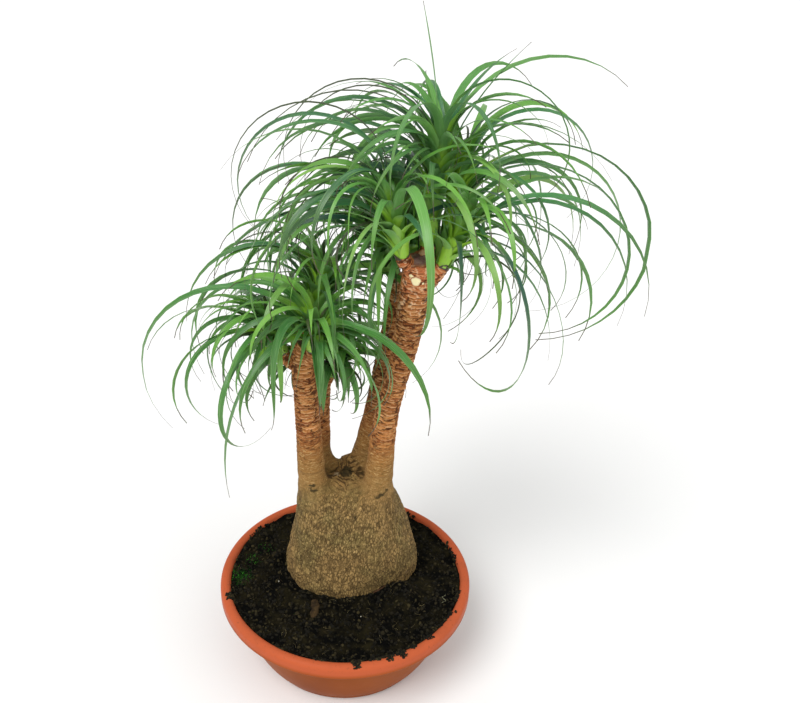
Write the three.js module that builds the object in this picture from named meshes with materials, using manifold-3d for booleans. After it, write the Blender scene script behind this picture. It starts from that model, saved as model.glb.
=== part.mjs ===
// A ponytail palm in a terracotta-coloured plastic bowl. The bowl is filled with peat soil, and the palm's
// swollen foot stands in a socket in it. The foot splits into four cut-back stems, and eleven leafy shoots
// grow from short collars near the stems' tops. Millimetres, +Z up, origin at the centre of the bowl's
// underside, -Y towards the viewer.
import * as THREE from "three";
import { mergeVertices } from "three/addons/utils/BufferGeometryUtils.js";
import Module from "manifold-3d";

const wasm = await Module();
wasm.setup();

const DEG = Math.PI / 180;
const CLEARANCE = 0.3; // between pieces that touch

// Sizes: the bowl

const POT = {
  rimRadius: 165,
  height: 115,
  wall: 3,
  floor: 4,
  footRadius: 103,
  cornerRadius: 113,
  cornerHeight: 7,
  neckRadius: 150,
  neckHeight: 95,
  mouthRadius: 152,
  fullness: 0.72,
  segments: 40,
  drainHoles: 6,
  drainRadius: 5,
  drainCircle: 62,
};

const DRAIN_SIDES = 10;
const WALL_HEIGHTS = [22, 45, POT.neckHeight];
// Radius and height: the outer corner up from the underside, the rim from its lower edge over the top to the
// inside, and the inner corner down to the floor
const OUTER_CORNER = [
  [POT.footRadius, 0],
  [POT.cornerRadius - 2, 2.5],
  [POT.cornerRadius, POT.cornerHeight],
];
const RIM = [
  [POT.rimRadius - 3, POT.neckHeight + 0.5],
  [POT.rimRadius, POT.neckHeight + 4],
  [POT.rimRadius, POT.height - 8],
  [POT.rimRadius - 2.5, POT.height - 2.5],
  [POT.rimRadius - 7, POT.height],
  [POT.mouthRadius + 2, POT.height - 1.5],
  [POT.mouthRadius, POT.height - 6],
];
const INNER_CORNER = [
  [POT.cornerRadius - 5, POT.floor + 4],
  [POT.footRadius - 3, POT.floor],
];

// Sizes: the palm's wood

const CENTRE_Y = 24; // the palm stands a little behind the bowl's middle
// height, centre x, half width across, half width front to back
const FOOT = [
  [60, 8, 66, 50],
  [92, 8, 82, 61],
  [124, 7.5, 88, 66],
  [160, 6.5, 81, 61],
  [195, 6, 71, 52],
  [220, 4, 64, 45],
  [250, 0, 56, 36],
];
const FOOT_TOP = 258;
const FOOT_LEVELS = [60, 80, 98, 110, 124, 140, 160, 182, 206, 229, 250];
const SEAT = FOOT_LEVELS[0];
// The foot is drawn in at its front right, and the dent fades out below a height.
const DENT = { facing: -50, spread: 30, depth: 13, upTo: 175, fade: 70 };
// Shallow swellings all over the foot, which fade out towards the fork: two crossed waves, each read off the
// place as a speed across, a speed up and a start
const SWELLINGS = { height: 1.6, upTo: 270, fade: 120, x: [0.085, 0.05, 0], y: [0.1, -0.035, 1] };
const BLEND = 22; // how softly stems and foot flow together
const QUARTER = 8; // foot ring points for each stem
const ARM = 3; // steps from the foot's edge over the fork to its middle
const FORK_X = -4;
const FORK_STEP = 0.5; // how finely the fork's height is felt for
const RING = QUARTER + 2 * ARM;

// Each stem: rows of height, x, y, radius; cut top's slope; the way it faces out, seen from the middle.
const STEMS = [
  {
    name: "front_right",
    facing: -45,
    slope: [0.1, 0.1],
    rows: [
      [190, 34, 4, 24],
      [235, 37, 1, 20],
      [273, 39, 0, 18],
      [339, 43, 0, 15.2],
      [386, 48.5, 0, 14.1],
      [435, 59, 0, 14],
      [480, 66.5, -2, 15.4],
      [548, 74, -4, 17.5],
      [580, 77, -5, 16.5],
    ],
  },
  {
    name: "back_right",
    facing: 45,
    slope: [0, 0.1],
    rows: [
      [190, 14, 42, 22],
      [240, 16, 47, 19],
      [274, 19, 50, 17],
      [303, 24.5, 50.5, 15.8],
      [351, 33, 52, 14],
      [401, 40, 55, 13.2],
      [460, 49, 60, 12.8],
      [524, 57, 61, 13],
    ],
  },
  {
    name: "back_left",
    facing: 135,
    slope: [0.15, 0],
    rows: [
      [190, -33, 42, 22],
      [240, -36, 48, 17],
      [271, -38, 50, 14.6],
      [300, -40, 50, 14.3],
      [348, -40, 50, 13.7],
      [388, -38.5, 50, 13.5],
    ],
  },
  {
    name: "front_left",
    facing: 225,
    slope: [-1.15, 0],
    rows: [
      [190, -37, 5, 25],
      [235, -41.5, 1, 20],
      [268, -44, 0, 17.6],
      [307, -46, 0, 16.4],
      [382, -50, -2, 14.1],
      [431, -52.5, -3, 13.9],
      [468, -54, -3.5, 13],
    ],
  },
];
const STEM_START = 290; // first level ring above the fork
const STEM_STEP = 16;
// Old leaf scars: rings stand out and in by turns from a little above the fork; the cut end is a hair domed.
const SCARS = { out: 0.7, in: -0.4, from: STEM_START + 30, full: STEM_START + 80, dome: 1.5 };
// The round scar of a cut-off bud, high on the front right stem
const BUD_SCAR = { at: [72.5, -20.5, 561], facing: -95, radius: 6, depth: 8, proud: 1.6, sides: 14 };

// Sizes: the soil

const SOIL = {
  level: 106,
  edge: 108.5,
  rings: [0.3, 0.52, 0.72, 0.87],
  lump: 1.8,
  ripple: 1.08,
};

// Sizes: the leafy shoots

const COLLAR_RADIUS = 8.5;
const COLLAR_SIDES = 10;
const COLLAR_NECK = 0.8; // of the collar's radius, from its flat end back to the elbow
const SHOOT_RADIUS = 7.5;
const BUD_SIDES = 8;

// name; stem and height where the collar leaves the wood; the collar's flat end; where the leaves spread;
// the longest leaf; the way that points away from the crown's middle, in plan
const SHOOTS = [
  ["shoot_right_left", "front_right", 560, [57, -13, 586], [40, -20, 656], 320, 200],
  ["shoot_right_side", "front_right", 545, [102, -5, 573], [128, -4, 642], 320, -10],
  ["shoot_right_top", "front_right", 562, [85, 14, 588], [95, 32, 712], 300, 90],
  ["shoot_right_rear", "front_right", 530, [100, 17, 560], [120, 35, 682], 340, 30],
  ["shoot_behind_left", "back_right", 505, [48, 56, 532], [18, 62, 600], 300, 170],
  ["shoot_behind_right", "back_right", 508, [67, 71, 534], [72, 92, 612], 300, 70],
  ["shoot_left_front", "front_left", 440, [-39, -17, 467], [-38, -24, 516], 230, -80],
  ["shoot_left_side", "front_left", 430, [-79, -2, 452], [-94, -3, 500], 230, 180],
  ["shoot_left_top", "front_left", 452, [-49, 15, 476], [-28, 36, 556], 250, 120],
  ["shoot_low_right", "back_left", 374, [-27, 46, 396], [-12, 47, 434], 160, 10],
  ["shoot_low_left", "back_left", 374, [-49, 60, 396], [-68, 78, 448], 200, 140],
].map(([name, stemName, height, base, fan, reach, facing]) => {
  const stem = STEMS.find((s) => s.name === stemName);
  return { name, stem, height, base, fan, reach, facing, leaves: [] };
});
const LEAVES_PER_SHOOT = 22;

const LEAF = { width: 9, thick: 1.3, thinning: 0.45, rootWidth: 0.6, widestAt: 0.12, taper: 2.2, sink: 4 };
// A midrib is drawn in fine steps, and one node is kept for about every so many degrees of its bend.
const MIDRIB = { fine: 6, bendPerNode: 33, fewest: 4, most: 8 };

// Leaves that give the crown its outline, seen from the front.
// shoot, azimuth, rise, bend, length, width, rooted at this share of the shoot, drift
const OUTLINE_LEAVES = [
  ["shoot_right_rear", 0, 52, 212, 442, 10, 0.8],
  ["shoot_right_rear", -10, 62, 218, 385, 11, 0.6],
  ["shoot_right_rear", 5, 75, 240, 400, 9, 0.5],
  ["shoot_left_front", 178, 44, 165, 336, 10, 0.9],
  ["shoot_right_left", 180, 100, 238, 325, 8, 0.9],
  ["shoot_right_top", 170, 84, 8, 140, 8, 0.95],
  ["shoot_right_top", 5, 72, 26, 147, 9, 0.7],
  ["shoot_right_top", 8, 92, 125, 250, 8, 0.7],
  ["shoot_right_top", -20, 98, 225, 263, 10, 0.9],
  ["shoot_right_rear", 15, 100, 168, 186, 8, 0.9],
  ["shoot_right_rear", 10, 85, 205, 258, 8, 0.9],
  ["shoot_right_side", -10, 62, 148, 285, 10, 0.5],
  ["shoot_right_side", 5, 36, 132, 271, 9, 0.8],
  ["shoot_right_side", -25, 62, 176, 195, 9, 0.6],
  ["shoot_right_side", -60, 34, 222, 340, 9, 0.6],
  ["shoot_right_left", -75, 80, 232, 300, 12, 0.6],
  ["shoot_right_top", -115, 100, 215, 220, 11, 0.8],
  ["shoot_right_top", 185, 92, 178, 260, 9, 0.6],
  ["shoot_right_top", 190, 95, 140, 222, 9, 0.5],
  ["shoot_right_left", 190, 105, 165, 235, 8, 0.7],
  ["shoot_behind_left", 180, 80, 186, 257, 9, 0.9],
  ["shoot_behind_left", 190, 30, 92, 200, 9, 0.9],
  ["shoot_left_top", 190, 48, 130, 204, 10, 0.9],
  ["shoot_right_left", 210, 70, 165, 190, 12, 0.6],
  ["shoot_right_left", 230, 100, 210, 218, 9, 0.6],
  ["shoot_left_front", -20, 20, 110, 200, 12, 0.8],
  ["shoot_left_front", -85, 10, 100, 105, 10, 0.6, 20],
  ["shoot_left_front", -120, 60, 170, 190, 10, 0.6, 60],
  ["shoot_left_side", 180, 42, 105, 160, 9, 0.7],
  ["shoot_left_side", 200, 32, 176, 200, 10, 0.5],
  ["shoot_left_side", 195, -50, 45, 215, 9, 0.3],
  ["shoot_left_side", 240, 30, 215, 244, 8, 0.4],
  ["shoot_low_left", 215, -10, 60, 80, 9, 0.3],
  ["shoot_low_left", 190, 10, 115, 127, 9, 0.8],
  ["shoot_left_top", -2, 45, 175, 250, 8, 0.6],
];

// How near leaves come to each other and to the wood
const BEAD_STEP = 7;
const BEAD_MARGIN = 0.7; // a bead is this much wider than half the leaf
const CROWDED = 32; // leaves of one shoot may merge this near its bud
const OWN_GAP = 5;
const OTHER_GAP = { least: 6.2, skin: 0.8 }; // between middles at least, and between the beads' skins
const WOOD_GAP = { beside: 5, above: 6 };
const BUD_MARGIN = 2.5;
const SEARCH_MARGIN = 24;
const DEEPEST = 150; // how far a tip may hang below its fan
const GOLDEN_ANGLE = 137.508;
const TRIES = 16;

const FINISHES = {
  terracotta: new THREE.MeshStandardMaterial({ color: "#c9643c", roughness: 0.5, metalness: 0 }),
  peat: new THREE.MeshStandardMaterial({ color: "#1f1a12", roughness: 1, metalness: 0 }),
  bark: new THREE.MeshStandardMaterial({ color: "#8f6a3f", roughness: 0.9, metalness: 0 }),
  leaf: new THREE.MeshStandardMaterial({ color: "#3c7d33", roughness: 0.55, metalness: 0 }),
};

// Joins and cuts

function solid(geometry) {
  const bare = geometry.clone();
  bare.deleteAttribute("normal");
  bare.deleteAttribute("uv");
  const merged = mergeVertices(bare, 1e-4);
  return new wasm.Manifold(
    new wasm.Mesh({
      numProp: 3,
      vertProperties: new Float32Array(merged.attributes.position.array),
      triVerts: new Uint32Array(merged.index.array),
    }),
  );
}

function geometryOf(shape) {
  const mesh = shape.getMesh();
  const geometry = new THREE.BufferGeometry();
  geometry.setAttribute("position", new THREE.BufferAttribute(mesh.vertProperties, 3));
  geometry.setIndex(new THREE.BufferAttribute(mesh.triVerts, 1));
  const flat = geometry.toNonIndexed();
  flat.computeVertexNormals();
  return flat;
}

function fromPoints(points, faces) {
  const geometry = new THREE.BufferGeometry().setFromPoints(points);
  geometry.setIndex(faces.flat());
  return geometry;
}

// Rings of point numbers joined into a skin; each ring has the same count, counter-clockwise from above.
function bandFaces(lower, upper) {
  const count = lower.length;
  return lower.flatMap((a, i) => {
    const b = lower[(i + 1) % count];
    const c = upper[(i + 1) % count];
    const d = upper[i];
    return [
      [a, b, c],
      [a, c, d],
    ];
  });
}

function capFaces(ring, middle, facingUp) {
  return ring.map((a, i) => {
    const b = ring[(i + 1) % ring.length];
    return facingUp ? [a, b, middle] : [b, a, middle];
  });
}

// A smooth curve through rows [height, value, value, ...], read at any height.
function readRows(rows, height) {
  const last = rows.length - 1;
  if (height <= rows[0][0]) return rows[0].slice(1);
  if (height >= rows[last][0]) return rows[last].slice(1);
  const i = rows.findIndex((row) => row[0] > height) - 1;
  const span = rows[i + 1][0] - rows[i][0];
  const t = (height - rows[i][0]) / span;
  const slope = (k, column) => {
    const below = rows[Math.max(k - 1, 0)];
    const above = rows[Math.min(k + 1, last)];
    return (above[column] - below[column]) / (above[0] - below[0]);
  };
  return rows[i].slice(1).map((value, k) => {
    const column = k + 1;
    const end = rows[i + 1][column];
    const m0 = slope(i, column) * span;
    const m1 = slope(i + 1, column) * span;
    return (
      value * (2 * t ** 3 - 3 * t ** 2 + 1) +
      m0 * (t ** 3 - 2 * t ** 2 + t) +
      end * (3 * t ** 2 - 2 * t ** 3) +
      m1 * (t ** 3 - t ** 2)
    );
  });
}

// A seeded draw between 0 and 1, the same on every run.
function draw(seed) {
  let a = (seed + 0x6d2b79f5) | 0;
  a = Math.imul(a ^ (a >>> 15), 1 | a);
  a = (a + Math.imul(a ^ (a >>> 7), 61 | a)) ^ a;
  return ((a ^ (a >>> 14)) >>> 0) / 4294967296;
}

// Bowl: injection-moulded plastic with a rolled rim and drain holes

// Outer wall radius at a height: a full curve from the foot's corner to the neck under the rim.
function potWall(z) {
  const t = (z - POT.cornerHeight) / (POT.neckHeight - POT.cornerHeight);
  return THREE.MathUtils.lerp(POT.cornerRadius, POT.neckRadius, Math.max(t, 0) ** POT.fullness);
}

function innerWall(gap) {
  return WALL_HEIGHTS.map((z) => [potWall(z) - POT.wall - gap, z]);
}

function makePot() {
  const profile = [
    [0, 0],
    ...OUTER_CORNER,
    ...WALL_HEIGHTS.map((z) => [potWall(z), z]),
    ...RIM,
    ...innerWall(0).reverse(),
    ...INNER_CORNER,
    [0, POT.floor],
  ].map(([r, z]) => new THREE.Vector2(r, z));
  const lathe = new THREE.LatheGeometry(profile, POT.segments).rotateX(Math.PI / 2);
  let shape = solid(lathe);
  for (let i = 0; i < POT.drainHoles; i += 1) {
    const angle = (i / POT.drainHoles) * 2 * Math.PI;
    const hole = new THREE.CylinderGeometry(POT.drainRadius, POT.drainRadius, 3 * POT.floor, DRAIN_SIDES)
      .rotateX(Math.PI / 2)
      .translate(POT.drainCircle * Math.cos(angle), POT.drainCircle * Math.sin(angle), POT.floor / 2);
    shape = shape.subtract(solid(hole));
  }
  return shape;
}

// Palm: swollen foot and four stems, grown as one piece

function footDistance(p) {
  const [cx, ax, ay] = readRows(FOOT, p.z);
  const across = Math.hypot((p.x - cx) / ax, (p.y - CENTRE_Y) / ay);
  const turn = (Math.atan2(p.y - CENTRE_Y, p.x - cx) / DEG - DENT.facing) / DENT.spread;
  const dentFade = THREE.MathUtils.smoothstep(DENT.upTo - p.z, 0, DENT.fade);
  const dent = DENT.depth * Math.exp(-(turn ** 2)) * dentFade;
  return Math.max((across - 1) * Math.min(ax, ay) + dent, p.z - FOOT_TOP);
}

function stemDistance(stem, p) {
  const [cx, cy, radius] = readRows(stem.rows, p.z);
  return Math.hypot(p.x - cx, p.y - cy) - radius;
}

function softMin(a, b) {
  const h = Math.max(BLEND - Math.abs(a - b), 0) / BLEND;
  return Math.min(a, b) - (h * h * BLEND) / 4;
}

// How far a point lies outside the palm's skin, with shallow swellings over the foot.
function barkDistance(p) {
  const smooth = STEMS.reduce((d, stem) => softMin(d, stemDistance(stem, p)), footDistance(p));
  const low = THREE.MathUtils.clamp((SWELLINGS.upTo - p.z) / SWELLINGS.fade, 0, 1);
  const wave = (place, [across, up, start]) => Math.sin(place * across + p.z * up + start);
  return smooth - SWELLINGS.height * low * wave(p.x, SWELLINGS.x) * wave(p.y, SWELLINGS.y);
}

const SKIN_STEP = 2; // stride along a ray, before the last stride is halved again and again
const HALVINGS = 18;
const FOOT_REACH = 140;
const STEM_REACH = 45;
const LEAN_SPAN = 6; // a stem's lean is read this far below and above
const PROBE = 0.1;

// The skin's point on a ray from inside the wood.
function skinPoint(from, way, reach, extra = 0) {
  const at = (t) => barkDistance(from.clone().addScaledVector(way, t));
  let far = SKIN_STEP;
  while (far < reach && at(far) < 0) far += SKIN_STEP;
  let near = far - SKIN_STEP;
  for (let i = 0; i < HALVINGS; i += 1) {
    const middle = (near + far) / 2;
    if (at(middle) < 0) near = middle;
    else far = middle;
  }
  return from.clone().addScaledVector(way, near + extra);
}

function footRing(z, extra = 0) {
  const [cx] = readRows(FOOT, z);
  const middle = new THREE.Vector3(cx, CENTRE_Y, z);
  return Array.from({ length: 4 * QUARTER }, (_, i) => {
    const angle = ((i / QUARTER) * 90 - 90) * DEG;
    return skinPoint(middle, new THREE.Vector3(Math.cos(angle), Math.sin(angle), 0), FOOT_REACH, extra);
  });
}

function stemRing(stem, z, swell = 0) {
  const [cx, cy] = readRows(stem.rows, z);
  const [bx, by] = readRows(stem.rows, z - LEAN_SPAN);
  const [tx, ty] = readRows(stem.rows, z + LEAN_SPAN);
  const lean = [(tx - bx) / (2 * LEAN_SPAN), (ty - by) / (2 * LEAN_SPAN)];
  const middle = new THREE.Vector3(cx, cy, z);
  return Array.from({ length: RING }, (_, j) => {
    const angle = (stem.facing + ((j - QUARTER / 2) * 360) / RING) * DEG;
    const way = new THREE.Vector3(Math.cos(angle), Math.sin(angle), 0);
    way.z = -(way.x * lean[0] + way.y * lean[1]);
    return skinPoint(middle, way.normalize(), STEM_REACH, swell);
  });
}

// Moves a point onto the skin along the steepest way.
function settle(point) {
  const p = point.clone();
  for (let i = 0; i < 4; i += 1) {
    const here = barkDistance(p);
    const slope = new THREE.Vector3(
      barkDistance(p.clone().setX(p.x + PROBE)) - here,
      barkDistance(p.clone().setY(p.y + PROBE)) - here,
      barkDistance(p.clone().setZ(p.z + PROBE)) - here,
    ).divideScalar(PROBE);
    p.addScaledVector(slope, -here / Math.max(slope.lengthSq(), 0.2));
  }
  return p;
}

function makeBark() {
  const points = [];
  const faces = [];
  const add = (ring) => ring.map((p) => points.push(p) - 1);

  const footRings = FOOT_LEVELS.map((z) => add(footRing(z)));
  const [seat] = add([new THREE.Vector3(readRows(FOOT, SEAT)[0], CENTRE_Y, SEAT)]);
  faces.push(...capFaces(footRings[0], seat, false));
  footRings.slice(1).forEach((ring, i) => faces.push(...bandFaces(footRings[i], ring)));

  // The fork: four arms run from the valleys between the stems up to a shared middle point.
  const edge = footRings[footRings.length - 1];
  const overFork = (x, y) => {
    const spot = new THREE.Vector3(x, y, FOOT_TOP + BLEND);
    while (barkDistance(spot) > 0) spot.z -= FORK_STEP;
    return spot;
  };
  const [middle] = add([overFork(FORK_X, CENTRE_Y)]);
  const arms = [0, 1, 2, 3].map((q) => {
    const start = points[edge[q * QUARTER]];
    return add(
      Array.from({ length: ARM - 1 }, (_, i) => {
        const t = (i + 1) / ARM;
        return overFork(
          THREE.MathUtils.lerp(start.x, FORK_X, t),
          THREE.MathUtils.lerp(start.y, CENTRE_Y, t),
        );
      }),
    );
  });

  STEMS.forEach((stem, q) => {
    const arc = Array.from({ length: QUARTER + 1 }, (_, i) => edge[(q * QUARTER + i) % edge.length]);
    const split = [...arc, ...arms[(q + 1) % 4], middle, ...[...arms[q]].reverse()];
    const firstRing = stemRing(stem, STEM_START);
    const between = add(firstRing.map((p, j) => settle(points[split[j]].clone().lerp(p, 0.5))));
    const top = stem.rows[stem.rows.length - 1][0];
    const steps = Math.round((top - STEM_START) / STEM_STEP);
    const rings = Array.from({ length: steps + 1 }, (_, k) => {
      const z = STEM_START + ((top - STEM_START) * k) / steps;
      const scarred = THREE.MathUtils.smoothstep(z, SCARS.from, SCARS.full);
      return add(k === 0 ? firstRing : stemRing(stem, z, scarred * (k % 2 ? SCARS.out : SCARS.in)));
    });
    const [cx, cy] = readRows(stem.rows, top);
    rings[steps].forEach((index) => {
      const p = points[index];
      p.z += stem.slope[0] * (p.x - cx) + stem.slope[1] * (p.y - cy);
    });
    const [tip] = add([new THREE.Vector3(cx, cy, top + SCARS.dome)]);
    const chain = [split, between, ...rings];
    chain.slice(1).forEach((ring, i) => faces.push(...bandFaces(chain[i], ring)));
    faces.push(...capFaces(rings[steps], tip, true));
  });
  return solid(fromPoints(points, faces));
}

function makeBudScar() {
  const { at, facing, radius, depth, proud, sides } = BUD_SCAR;
  const button = new THREE.CylinderGeometry(0.85 * radius, radius, depth + proud, sides)
    .rotateZ(-Math.PI / 2)
    .translate((proud - depth) / 2, 0, 0)
    .rotateZ(facing * DEG)
    .translate(...at);
  return solid(button);
}

// Soil: peat up to just under the rim, with the palm's foot standing in a socket

function soilHeight(x, y) {
  const lumps = Math.sin(0.11 * x + 0.05 * y) * Math.sin(0.12 * y - 0.04 * x + 2);
  return SOIL.level + SOIL.lump * lumps + SOIL.ripple * Math.sin(0.21 * x - 0.16 * y + 1);
}

function makeSoil() {
  const segments = POT.segments;
  const points = [];
  const add = (ring) => ring.map((p) => points.push(p) - 1);
  const circle = (radius, height) =>
    Array.from({ length: segments }, (_, i) => {
      const angle = (i / segments) * 2 * Math.PI;
      const x = radius * Math.cos(angle);
      const y = radius * Math.sin(angle);
      return new THREE.Vector3(x, y, height ?? soilHeight(x, y));
    });
  const [wallEnd, floorEnd] = INNER_CORNER;
  const side = [
    [floorEnd[0] - 1, floorEnd[1] + CLEARANCE],
    [wallEnd[0] - 1, wallEnd[1]],
    ...innerWall(2 * CLEARANCE),
    [POT.mouthRadius - 2 * CLEARANCE, SOIL.edge],
  ];
  const lowest = add(circle(0, side[0][1]).slice(0, 1));
  const highest = add([new THREE.Vector3(0, 0, soilHeight(0, 0))]);
  const rings = [
    ...side.map(([r, z]) => add(circle(r, z))),
    ...[...SOIL.rings].reverse().map((share) => add(circle(share * POT.mouthRadius))),
  ];
  const faces = [...capFaces(rings[0], lowest[0], false)];
  rings.slice(1).forEach((ring, i) => faces.push(...bandFaces(rings[i], ring)));
  faces.push(...capFaces(rings[rings.length - 1], highest[0], true));

  // The socket follows the foot, a hair wider, from just under its seat.
  const socketLevels = [SEAT - CLEARANCE, ...FOOT_LEVELS.slice(1, 6)];
  const socketPoints = [];
  const socketRings = socketLevels.map((z) => {
    const ring = footRing(Math.max(z, SEAT), 1.5 * CLEARANCE);
    return ring.map((p) => socketPoints.push(p.setZ(z)) - 1);
  });
  const middle = (z) => socketPoints.push(new THREE.Vector3(FOOT[0][1], CENTRE_Y, z)) - 1;
  const socketFaces = capFaces(socketRings[0], middle(socketLevels[0]), false);
  socketRings.slice(1).forEach((ring, i) => socketFaces.push(...bandFaces(socketRings[i], ring)));
  const open = socketLevels.length - 1;
  socketFaces.push(...capFaces(socketRings[open], middle(socketLevels[open]), true));
  return solid(fromPoints(points, faces)).subtract(solid(fromPoints(socketPoints, socketFaces)));
}

// Shoots: leafy heads on short collars near the stems' tops

function shootAxis(shoot) {
  const base = new THREE.Vector3(...shoot.base);
  const way = new THREE.Vector3(...shoot.fan).sub(base);
  const length = way.length();
  return { base, way: way.normalize(), length };
}

function turnUpTo(way) {
  return new THREE.Quaternion().setFromUnitVectors(new THREE.Vector3(0, 0, 1), way);
}

// An elbow from the stem's heart to the flat seat that the bud stands on.
function makeCollar(shoot) {
  const { base, way } = shootAxis(shoot);
  const [cx, cy] = readRows(shoot.stem.rows, shoot.height);
  const heart = new THREE.Vector3(cx, cy, shoot.height);
  const neck = base.clone().addScaledVector(way, -COLLAR_NECK * COLLAR_RADIUS);
  const out = neck.clone().sub(heart).normalize();
  const points = [];
  const rings = [
    [heart, out, COLLAR_RADIUS - 1],
    [neck, out.clone().add(way).normalize(), COLLAR_RADIUS],
    [base, way, COLLAR_RADIUS],
  ].map(([at, facing, radius]) => {
    const turn = turnUpTo(facing);
    return Array.from({ length: COLLAR_SIDES }, (_, i) => {
      const angle = (i / COLLAR_SIDES) * 2 * Math.PI;
      const spot = new THREE.Vector3(radius * Math.cos(angle), radius * Math.sin(angle), 0);
      return points.push(spot.applyQuaternion(turn).add(at)) - 1;
    });
  });
  const ends = [heart, base].map((at) => points.push(at) - 1);
  return solid(
    fromPoints(points, [
      ...capFaces(rings[0], ends[0], false),
      ...bandFaces(rings[0], rings[1]),
      ...bandFaces(rings[1], rings[2]),
      ...capFaces(rings[2], ends[1], true),
    ]),
  );
}

// The bud that the leaves are rooted in.
function makeBud(shoot) {
  const { base, way, length } = shootAxis(shoot);
  const profile = [
    [0, CLEARANCE],
    [SHOOT_RADIUS - 1, CLEARANCE],
    [SHOOT_RADIUS + 1, 0.35 * length],
    [SHOOT_RADIUS, 0.75 * length],
    [SHOOT_RADIUS * 0.55, length],
    [0, 1.06 * length],
  ].map(([r, z]) => new THREE.Vector2(r, z));
  const lathe = new THREE.LatheGeometry(profile, BUD_SIDES).rotateX(Math.PI / 2);
  return solid(lathe.applyQuaternion(turnUpTo(way)).translate(base.x, base.y, base.z));
}

// Leaves: long straps that rise, arch over and curl under

// The nodes of one leaf's midrib. Angles in degrees: azimuth in plan, rise from level, bend over the whole
// length, drift of the azimuth towards the tip.
function leafLine(shoot, leaf) {
  const { base, way, length } = shootAxis(shoot);
  const out = new THREE.Vector3(Math.cos(leaf.azimuth * DEG), Math.sin(leaf.azimuth * DEG), 0);
  const root = base.clone().addScaledVector(way, leaf.height * length);
  root.addScaledVector(out, SHOOT_RADIUS - LEAF.sink);
  const nodes = Math.round(leaf.bend / MIDRIB.bendPerNode);
  const steps = MIDRIB.fine * THREE.MathUtils.clamp(nodes, MIDRIB.fewest, MIDRIB.most);
  const step = leaf.length / steps;
  const points = [root.clone()];
  const spot = root.clone();
  for (let i = 0; i < steps; i += 1) {
    const u = (i + 0.5) / steps;
    const pitch = (leaf.rise - leaf.bend * u) * DEG;
    const azimuth = (leaf.azimuth + leaf.drift * u ** 1.5) * DEG;
    spot.x += Math.cos(pitch) * Math.cos(azimuth) * step;
    spot.y += Math.cos(pitch) * Math.sin(azimuth) * step;
    spot.z += Math.sin(pitch) * step;
    if ((i + 1) % MIDRIB.fine === 0) points.push(spot.clone());
  }
  return points;
}

// Share of the full width: narrow at the root, widest soon after, then a slow taper to the tip.
function leafWidth(u) {
  if (u < LEAF.widestAt) return THREE.MathUtils.lerp(LEAF.rootWidth, 1, u / LEAF.widestAt);
  return 1 - ((u - LEAF.widestAt) / (1 - LEAF.widestAt)) ** LEAF.taper;
}

function makeLeaf(leaf) {
  const { line } = leaf;
  const last = line.length - 1;
  const points = [];
  const faces = [];
  let side = new THREE.Vector3(-Math.sin(leaf.azimuth * DEG), Math.cos(leaf.azimuth * DEG), 0);
  for (let i = 0; i < last; i += 1) {
    const u = i / last;
    const along = line[i + 1].clone().sub(line[Math.max(i - 1, 0)]).normalize();
    side = side.clone().addScaledVector(along, -side.dot(along)).normalize();
    const turnedSide = side.clone().applyAxisAngle(along, leaf.twist * u * DEG);
    const under = turnedSide.clone().cross(along).normalize();
    const half = 0.5 * leaf.width * leafWidth(u);
    const thick = LEAF.thick * (1 - LEAF.thinning * u);
    points.push(
      line[i].clone().addScaledVector(turnedSide, half).addScaledVector(under, -thick / 3),
      line[i].clone().addScaledVector(turnedSide, -half).addScaledVector(under, -thick / 3),
      line[i].clone().addScaledVector(under, (2 * thick) / 3),
    );
  }
  const tip = points.push(line[last]) - 1;
  faces.push([0, 2, 1]);
  for (let i = 0; i < last - 1; i += 1) {
    const section = [3 * i, 3 * i + 1, 3 * i + 2];
    faces.push(...bandFaces(section, section.map((index) => index + 3)));
  }
  const end = 3 * (last - 1);
  faces.push(...capFaces([end, end + 1, end + 2], tip, true));
  return solid(fromPoints(points, faces));
}

// Clearance: each leaf is a chain of beads, and it may not come near the beads of another shoot or the wood

const placedBeads = [];

function beadsOf(line, width, owner, mayMerge) {
  const beads = [];
  const last = line.length - 1;
  for (let i = 0; i < last; i += 1) {
    const count = Math.max(1, Math.ceil(line[i].distanceTo(line[i + 1]) / BEAD_STEP));
    for (let k = 0; k < count; k += 1) {
      const p = line[i].clone().lerp(line[i + 1], k / count);
      const crowded = mayMerge || p.distanceTo(line[0]) < CROWDED;
      beads.push({ p, r: 0.5 * width * leafWidth((i + k / count) / last) + BEAD_MARGIN, owner, crowded });
    }
  }
  beads.push({ p: line[last].clone(), r: 1, owner, crowded: mayMerge });
  return beads;
}

function isClear(beads, near) {
  return beads.every((bead) =>
    near.every((other) => {
      const own = other.owner === bead.owner;
      if (own && (bead.crowded || other.crowded)) return true;
      const gap = own ? OWN_GAP : Math.max(bead.r + other.r + OTHER_GAP.skin, OTHER_GAP.least);
      return bead.p.distanceToSquared(other.p) > gap * gap;
    }),
  );
}

// The height where the nearest stem is cut; the skin's formula runs on above it.
function woodTop(p) {
  const nearest = STEMS.reduce((a, b) => (stemDistance(a, p) < stemDistance(b, p) ? a : b));
  const [z, x, y] = nearest.rows[nearest.rows.length - 1];
  return z + nearest.slope[0] * (p.x - x) + nearest.slope[1] * (p.y - y);
}

function touchesWood(p) {
  return barkDistance(p) < WOOD_GAP.beside && p.z < woodTop(p) + WOOD_GAP.above;
}

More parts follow.
